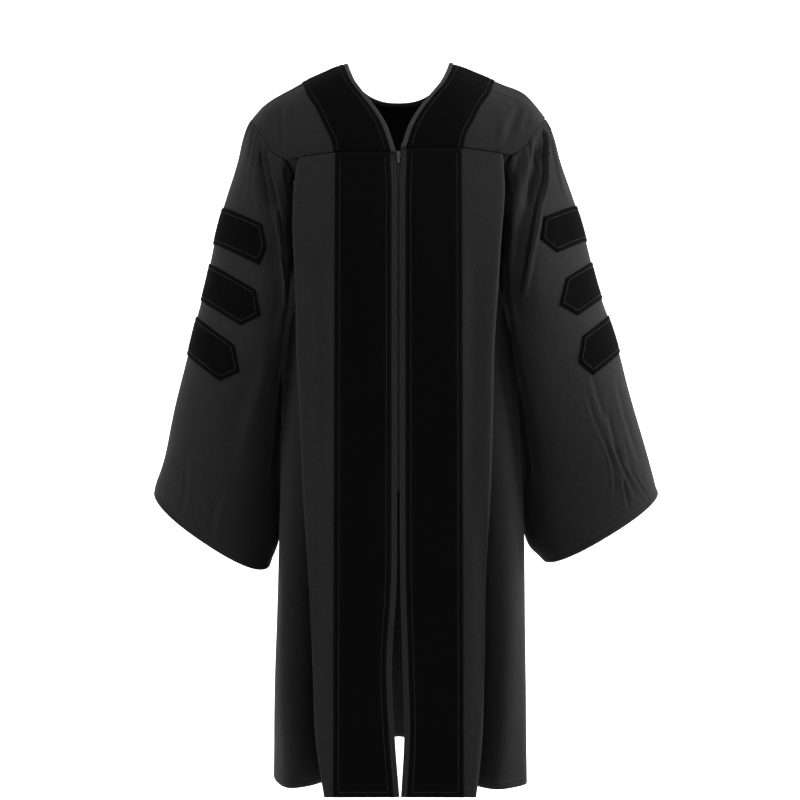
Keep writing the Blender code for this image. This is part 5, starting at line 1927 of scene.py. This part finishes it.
@dataclass(frozen=True)
class Sleeve(SidePart):
    """One bell sleeve with its gathered cap, its open cuff and three velvet bars."""

    step_across: float = 0.0034
    step_down: float = 0.0055
    angle_metres: float = 0.0021
    row_metres: float = 0.75
    radius: float = 0.12
    end_fades: Pair = (0.05, 0.03)
    wave_depth: float = 0.0016
    wave_size: float = 0.16
    puff_depth: float = 0.0052
    puff_reach: float = 0.075
    small_depth: float = 0.0011
    small_reach: float = 0.03
    lean_angle: float = 189.0
    lean_half_width: float = 26.0
    bar_width: float = 0.068
    bar_point: float = 0.026
    bar_gap: float = 0.0011
    bar_rows: int = 24
    bar_columns: int = 60
    bar_reach: float = 0.3
    bar_halvings: int = 24

    def gathers(self, angle: np.ndarray, row: np.ndarray) -> np.ndarray:
        """The cap's small uneven gathers, which fade away down the sleeve.

        Args:
            angle: Degrees round the ring, -180 to 180.
            row: Share of the sleeve's length.

        Returns:
            Movement outward of each point.
        """
        uneven = 0.5 * np.sin(angle * 0.13 + 1.0) + 0.4 * np.sin(angle * 0.31 + 2.0)
        puff = np.abs(np.sin(angle / 10.4 * math.pi + 1.3 * uneven)) ** 0.7 - 0.62
        small = np.sin(angle / 4.9 * math.tau + 1.1 * uneven + 0.7)
        reach = self.puff_reach * (1 + 0.6 * uneven)
        edge = eased((self.form.gathered_arc + 6.0 - np.abs(angle)) / 14.0)
        start = 0.35 + 0.65 * eased(row / 0.02)
        puffs = self.puff_depth * puff * np.exp(-row / reach)
        return start * edge * (puffs + self.small_depth * small * np.exp(-row / self.small_reach))

    def shape(self, fine: ClothGrid) -> np.ndarray:
        """How far gathers, creases and the hem move the sleeve's cloth.

        Args:
            fine: The fine sheet.

        Returns:
            Movement outward of each point.
        """
        across, down = np.meshgrid(fine.across, fine.down)
        signed = (across + 180.0) % 360.0 - 180.0
        heights = crease_heights(self.creases, signed, down, (self.angle_metres, self.row_metres))
        turn = np.radians(signed)
        seed = 31 if self.side is Side.LEFT else 32
        u, v = self.radius * np.cos(turn), self.radius * np.sin(turn) + down * self.row_metres
        heights += self.wave_depth * soft_waves(u, v, self.wave_size, seed)
        heights *= faded(down, 1.0, self.end_fades)
        heights += self.gathers(signed, down)
        leans = [read_table(SLEEVE_LEAN_TABLE, "row", self.side.word, row) for row in fine.down]
        inner = np.exp(-(((signed % 360.0 - self.lean_angle) / self.lean_half_width) ** 2))
        heights += inner * np.array(leans)[:, None]
        return heights + self.sewing.at_hem(fine.lengths())

    def build(self) -> None:
        """Build the sleeve, its cuff's stitching and its bars."""
        word = self.side.word
        fine = self.form.sleeve(self.side).refine(self.step_across, self.step_down)
        sheet = fine.push(self.shape(fine))
        cloth = self.sewing.gown_cloth(sheet, f"sleeve_cloth_{word}", f"sleeve_{word}", (SLEEVE_TOP,))
        cuff = edge_line(sheet, Edge.HEM, self.sewing.hem, 0.0)
        sewn = self.sewing.stitches([cuff], f"sleeve_stitching_{word}", "gown_cloth")
        declare(fine)
        for number, row in enumerate(BARS[word], start=1):
            base = self.bar_sheet(sheet, dict(zip(BAR_NAMES, row)))
            name = f"velvet_bar_{word}_{number}"
            names = (name, f"{name}_stitching", f"sleeve_bar_{word}_{number}")
            edges = [Edge.TOP, Edge.HEM]
            self.sewing.velvet_piece(base, names, cloth.name, edges, self.sewing.inset, BAR_THREAD)

    def bar_sheet(self, sheet: ClothGrid, sizes: Mapping[str, float]) -> ClothGrid:
        """Sheet of one velvet bar, which lies round the sleeve's outer line.

        Args:
            sheet: The sleeve's creased sheet.
            sizes: The bar's row of the table, by name.

        Returns:
            The bar's sheet, rows along the bar.
        """
        angle = math.radians(sizes["slope"])
        slope, tall = math.tan(angle), self.bar_width / math.cos(angle)
        normals = sheet.normals()
        outer = int(np.argmin(np.abs((sheet.across + 180.0) % 360.0 - 180.0)))
        count = sheet.points.shape[1]
        top_column = sheet.points[:, outer]
        outer_x = abs(float(np.interp(-sizes["top"], -top_column[:, 2], top_column[:, 0])))

        def column(place: float, field: np.ndarray) -> np.ndarray:
            """Points or normals of a column between two of the sheet's columns."""
            low = math.floor(place)
            share = place - low
            return field[:, low % count] * (1 - share) + field[:, (low + 1) % count] * share

        def spot(place: float, drop: float) -> tuple[np.ndarray, np.ndarray]:
            """Point and normal where a bar's line crosses a column."""
            points = column(place, sheet.points)
            measure = points[:, 2] - (sizes["top"] - (outer_x - np.abs(points[:, 0])) * slope - drop)
            crossing = np.nonzero((measure[:-1] >= 0) & (measure[1:] < 0))[0]
            i = int(crossing[0]) if len(crossing) else len(points) - 2
            share = measure[i] / (measure[i] - measure[i + 1])
            normal = column(place, normals)
            normal = normal[i] + (normal[i + 1] - normal[i]) * share
            return points[i] + (points[i + 1] - points[i]) * share, normal / np.linalg.norm(normal)

        def front_target(across: float) -> float:
            """Distance from the middle of the bar's front end at a line."""
            tip, upper, lower = (sizes[name] for name in ("front_tip", "front_upper", "front_lower"))
            return tip + (upper - tip) * max(0.0, -2 * across) + (lower - tip) * max(0.0, 2 * across)

        def back_target(across: float) -> float:
            """Distance from the middle of the bar's back end at a line."""
            target = sizes["back_tip"] + self.bar_point * math.cos(angle) * abs(2 * across)
            return target + across * self.bar_width * math.sin(angle)

        def end_place(target: float, step: int, drop: float) -> float:
            """Column where a bar's line ends, by distance from the middle."""
            low, high = float(outer), float(outer + step * count * self.bar_reach)
            for _ in range(self.bar_halvings):
                half = (low + high) / 2
                if abs(spot(half, drop)[0][0]) > target:
                    low = half
                else:
                    high = half
            return low

        lines = []
        for k in range(self.bar_rows + 1):
            across = k / self.bar_rows - 0.5
            drop = tall * (0.5 + across)
            first = end_place(back_target(across), -1, drop)
            last = end_place(front_target(across), 1, drop)
            line = []
            for j in range(self.bar_columns + 1):
                point, normal = spot(first + (last - first) * j / self.bar_columns, drop)
                line.append(point + normal * self.bar_gap)
            lines.append(line)
        columns, rows = np.arange(self.bar_columns + 1.0), np.arange(self.bar_rows + 1.0)
        return ClothGrid(np.array(lines), columns, rows, self.side.value)


@dataclass(frozen=True)
class Zip(Part):
    """Coil zip down the front: two tapes, their teeth, the slider and its pull tab."""

    top: float = -0.190
    end: float = -0.79
    tape: float = 0.0008
    tape_gap: float = 0.0009
    tape_x: Row = (0.0003, 0.006, 0.013)
    tape_steps: Pair = (0.0016, 0.008)
    pitch: float = 0.0016
    tooth: tuple[float, float, float] = (0.0027, 0.0009, 0.0008)
    first_tooth: float = 0.006
    tooth_aside: float = 0.0004
    tooth_lift: float = 0.00012

    def front_y(self, z: float, x: float) -> float:
        """Y of the tapes' front face."""
        row = read_row(SECTIONS["left"], SECTION_NAMES, z)
        return self.form.panel_front_y(row, x) + self.sewing.cloth + self.tape_gap

    def build(self) -> None:
        """Build the tapes and the teeth, and plate the slider and the tab."""
        for side in Side:
            heights = [z for z in self.form.front_heights(side)[1:] if self.end < z < self.top]
            heights = [self.top, *heights, self.end]
            points = np.array([
                [(side.value * x, self.front_y(z, x), z) for x in self.tape_x] for z in heights
            ])
            plain = ClothGrid(points, np.arange(3.0), np.array(heights), -side.value)
            fine = plain.refine(*self.tape_steps)
            name = f"zip_tape_weave_{side.word}"
            mesh = shell_mesh(fine, self.tape, False, name)
            piece = place_piece(mesh, name, TAPE, (f"zip_tape_{side.word}",))
            declare(fine)
        self.build_teeth()
        self.build_slider()

    def build_teeth(self) -> None:
        """Build the interlocked coil, one low rounded tooth for each turn."""
        shape = bmesh.new()
        size = Vector(self.tooth)
        start = self.top - self.first_tooth
        for i in range(int((start - self.end) / self.pitch)):
            z = start - i * self.pitch
            x = self.tooth_aside if i % 2 else -self.tooth_aside
            centre = Vector((x, self.front_y(z, 0.0) - self.tooth[1] / 2 - self.tooth_lift, z))
            made = bmesh.ops.create_icosphere(shape, subdivisions=1, radius=0.5)
            bmesh.ops.scale(shape, vec=size, verts=made["verts"])
            bmesh.ops.translate(shape, vec=centre, verts=made["verts"])
        mesh = bpy.data.meshes.new("zip_teeth")
        shape.to_mesh(mesh)
        shape.free()
        place_piece(mesh, "zip_teeth", COIL)

    def build_slider(self) -> None:
        """Give the slider's and the tab's own solids their plated zinc."""
        for node, body in (("zip_slider", GOWN_BODY), ("zip_pull_tab", TAB_BODY)):
            for place in bpy.data.objects[node].material_slots:
                place.link = "OBJECT"
                place.material = ZINC.material()
            LOG.info("%s: plated zinc, on %s", node, body)


# Creases, placed one by one


FRONT_CREASES: Mapping[str, Sequence[Crease]] = {
    "left": (
        Crease((0.135, -0.30), (0.130, -0.60), (0.126, -1.00), 0.0030, 0.016, 0.5),
        Crease((0.150, -0.75), (0.146, -1.00), (0.136, -1.30), 0.0024, 0.012, 0.5),
    ),
    "right": (
        Crease((0.138, -0.26), (0.133, -0.55), (0.128, -0.90), 0.0030, 0.015, 0.5),
        Crease((0.148, -0.70), (0.142, -1.00), (0.130, -1.30), 0.0024, 0.012, 0.5),
    ),
}
YOKE_CREASES: Mapping[str, Sequence[Crease]] = {
    "left": (
        Crease((0.052, 0.008), (0.047, 0.055), (0.036, 0.128), 0.0036, 0.0080, 0.5),
        Crease((0.036, 0.004), (0.027, 0.040), (0.013, 0.088), 0.0020, 0.0050, 0.6),
        Crease((0.084, 0.028), (0.064, 0.080), (0.042, 0.128), -0.0018, 0.0070, 0.0),
    ),
    "right": (
        Crease((0.064, 0.030), (0.041, 0.105), (0.018, 0.152), 0.0028, 0.0065, 0.6),
        Crease((0.040, 0.050), (0.026, 0.085), (0.012, 0.125), 0.0016, 0.0060, 0.5),
    ),
}
BACK_CREASES: Sequence[Crease] = (
    Crease((-0.30, -0.40), (-0.28, -0.48), (-0.20, -0.52), 0.0030, 0.014),
    Crease((0.27, -0.44), (0.24, -0.52), (0.16, -0.55), 0.0030, 0.014),
    Crease((-0.12, -0.62), (-0.09, -0.74), (-0.10, -0.90), 0.0024, 0.018),
    Crease((0.08, -0.90), (0.06, -1.02), (0.10, -1.20), 0.0026, 0.016),
)
SLEEVE_CREASES: Mapping[str, Sequence[Crease]] = {
    "left": (
        Crease((61.0, 0.240), (46.0, 0.100), (31.0, -0.020), 0.0110, 0.0036, 0.8),
        Crease((102.0, 0.360), (68.0, 0.275), (54.0, 0.150), 0.0115, 0.0050, 0.7),
        Crease((76.0, 0.150), (66.0, 0.080), (60.0, -0.010), 0.0034, 0.0034, 0.5),
        Crease((4.0, -0.010), (38.0, 0.100), (24.0, 0.270), -0.0038, 0.0065, 0.0),
        Crease((14.0, 0.030), (24.0, 0.140), (12.0, 0.280), 0.0022, 0.0090, 0.4),
        Crease((84.0, -0.010), (88.0, 0.070), (104.0, 0.190), 0.0040, 0.0060, 0.5),
        Crease((58.0, 0.790), (53.0, 0.880), (37.0, 1.010), 0.0034, 0.0032, 0.8),
        Crease((65.0, 0.730), (63.0, 0.820), (56.0, 0.960), 0.0028, 0.0032, 0.8),
        Crease((64.0, 0.810), (66.0, 0.900), (69.0, 0.960), 0.0024, 0.0028, 0.7),
        Crease((70.0, 0.770), (72.0, 0.840), (78.0, 0.900), 0.0016, 0.0026, 0.8),
        Crease((50.0, 0.740), (55.0, 0.790), (52.0, 0.850), 0.0018, 0.0028, 0.8),
        Crease((74.0, 0.700), (69.0, 0.760), (71.0, 0.810), 0.0016, 0.0026, 0.7),
        Crease((62.0, 0.900), (54.0, 0.930), (49.0, 0.985), 0.0017, 0.0026, 0.8),
        Crease((47.0, 0.860), (43.0, 0.910), (33.0, 0.960), 0.0014, 0.0028, 0.7),
        Crease((72.0, 0.620), (76.0, 0.680), (70.0, 0.740), 0.0014, 0.0030, 0.6),
        Crease((56.0, 0.660), (65.0, 0.750), (62.0, 0.820), 0.0024, 0.0050, 0.6),
        Crease((60.0, 0.580), (67.0, 0.660), (60.0, 0.740), 0.0018, 0.0050, 0.5),
        Crease((76.0, 0.842), (66.0, 0.850), (52.0, 0.864), -0.0015, 0.0030, 0.0),
        Crease((36.0, 0.620), (44.0, 0.740), (38.0, 0.860), 0.0020, 0.0080, 0.6),
        Crease((-40.0, 0.010), (-62.0, 0.180), (-102.0, 0.360), 0.0060, 0.0090, 0.4),
        Crease((-82.0, -0.010), (-97.0, 0.100), (-132.0, 0.200), 0.0045, 0.0065, 0.4),
        Crease((-58.0, 0.700), (-50.0, 0.840), (-42.0, 0.990), 0.0030, 0.0060, 0.5),
        Crease((-92.0, 0.520), (-84.0, 0.700), (-94.0, 0.860), 0.0034, 0.0110, 0.5),
        Crease((150.0, 0.420), (162.0, 0.600), (150.0, 0.820), 0.0040, 0.0120, 0.4),
    ),
    "right": (
        Crease((86.0, 0.210), (81.0, 0.090), (62.0, -0.020), 0.0105, 0.0038, 0.8),
        Crease((126.0, 0.320), (94.0, 0.240), (82.0, 0.120), 0.0110, 0.0050, 0.7),
        Crease((112.0, 0.200), (94.0, 0.090), (86.0, -0.020), 0.0080, 0.0034, 0.7),
        Crease((47.0, 0.000), (60.0, 0.140), (66.0, 0.290), -0.0022, 0.0070, 0.0),
        Crease((34.0, -0.010), (42.0, 0.070), (40.0, 0.160), 0.0022, 0.0060, 0.5),
        Crease((102.0, 0.440), (90.0, 0.600), (97.0, 0.760), 0.0030, 0.0150, 0.4),
        Crease((58.0, 0.760), (70.0, 0.860), (66.0, 0.980), 0.0018, 0.0060, 0.5),
        Crease((97.0, 0.790), (90.0, 0.880), (94.0, 0.990), 0.0016, 0.0055, 0.5),
        Crease((-44.0, 0.010), (-66.0, 0.170), (-110.0, 0.380), 0.0060, 0.0090, 0.4),
        Crease((-78.0, -0.010), (-99.0, 0.090), (-136.0, 0.220), 0.0045, 0.0065, 0.4),
        Crease((-66.0, 0.660), (-52.0, 0.820), (-56.0, 0.990), 0.0028, 0.0070, 0.5),
        Crease((-100.0, 0.460), (-88.0, 0.640), (-90.0, 0.800), 0.0034, 0.0110, 0.5),
        Crease((156.0, 0.380), (166.0, 0.560), (152.0, 0.780), 0.0040, 0.0120, 0.4),
    ),
}


# Studio


@dataclass(frozen=True)
class Studio:
    """Plain pale floor and backdrop, soft lights, and a camera at the photo's angle."""

    distance: float = 2.65
    eye_height: float = -0.63
    aside: float = 0.0028
    focal_px: float = 1412.0
    frame_px: float = 800.0
    sensor_mm: float = 36.0
    floor_drop: float = 0.16
    air: float = 0.22

    def build(self) -> None:
        """Build the floor, the lights, the world and the camera."""
        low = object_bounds()[0][2]
        self.build_floor(low - self.floor_drop)
        self.build_light("window_left", (2.9, -0.45, 0.40), 1.4, 145.0)
        self.build_light("fill_right", (-2.5, -1.3, 0.1), 1.8, 58.0)
        self.build_light("top", (0.1, -0.9, 2.1), 1.4, 42.0)
        world = bpy.data.worlds.new("studio_air")
        world.use_nodes = True
        ground = world.node_tree.nodes["Background"]
        ground.inputs["Color"].default_value = (1.0, 1.0, 1.0, 1.0)
        ground.inputs["Strength"].default_value = self.air
        bpy.context.scene.world = world
        view = bpy.context.scene.view_settings
        view.view_transform = "Standard"
        view.look = "None"
        self.build_camera()

    def build_floor(self, height: float) -> None:
        """Build the sweep of seamless paper.

        Args:
            height: Height of the floor.
        """
        bend, far, near, wide, tall = 1.4, 3.2, -4.5, 7.0, 6.0
        profile = [(near, height), (far - bend, height)]
        for i in range(1, 13):
            turn = math.pi / 2 * i / 12
            profile.append((far - bend + bend * math.sin(turn), height + bend * (1 - math.cos(turn))))
        profile.append((far, height + tall))
        vertices = [(x, y, z) for y, z in profile for x in (-wide, wide)]
        faces = [(2 * i, 2 * i + 1, 2 * i + 3, 2 * i + 2) for i in range(len(profile) - 1)]
        mesh = bpy.data.meshes.new("floor")
        mesh.from_pydata(vertices, [], faces)
        mesh.materials.append(PAPER.material())
        mesh.shade_smooth()
        floor = bpy.data.objects.new("floor", mesh)
        bpy.context.scene.collection.objects.link(floor)
        floor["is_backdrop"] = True

    def build_light(self, name: str, place: tuple[float, float, float], size: float, power: float) -> None:
        """Build one soft square light that faces the gown's middle.

        Args:
            name: Name of the light.
            place: Where it stands.
            size: Side of the square.
            power: Power in watts.
        """
        lamp = bpy.data.lights.new(name, "AREA")
        lamp.size = size
        lamp.energy = power
        light = bpy.data.objects.new(name, lamp)
        light.location = place
        towards = Vector((0.0, 0.0, self.eye_height)) - Vector(place)
        light.rotation_euler = towards.to_track_quat("-Z", "Y").to_euler()
        bpy.context.scene.collection.objects.link(light)

    def build_camera(self) -> None:
        """Build the camera, level at the height of the gown's middle."""
        lens = bpy.data.cameras.new("camera")
        lens.sensor_width = self.sensor_mm
        lens.lens = self.focal_px / self.frame_px * self.sensor_mm
        camera = bpy.data.objects.new("camera", lens)
        camera.location = (self.aside, -self.distance, self.eye_height)
        camera.rotation_euler = (math.pi / 2, 0.0, 0.0)
        bpy.context.scene.collection.objects.link(camera)
        bpy.context.scene.camera = camera


def main() -> None:
    """Load the frame and build every piece of the gown around it."""
    logging.basicConfig(level=logging.INFO, format="%(name)s: %(message)s")
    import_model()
    form, sewing = GownForm(), Sewing()
    Studio().build()
    pieces = ((FrontPanel, FRONT_CREASES), (FrontYoke, YOKE_CREASES), (Sleeve, SLEEVE_CREASES))
    for side in Side:
        for piece, creases in pieces:
            piece(form, sewing, side, creases[side.word]).build()
    Back(form, sewing, BACK_CREASES).build()
    Zip(form, sewing).build()


if __name__ == "__main__":
    main()
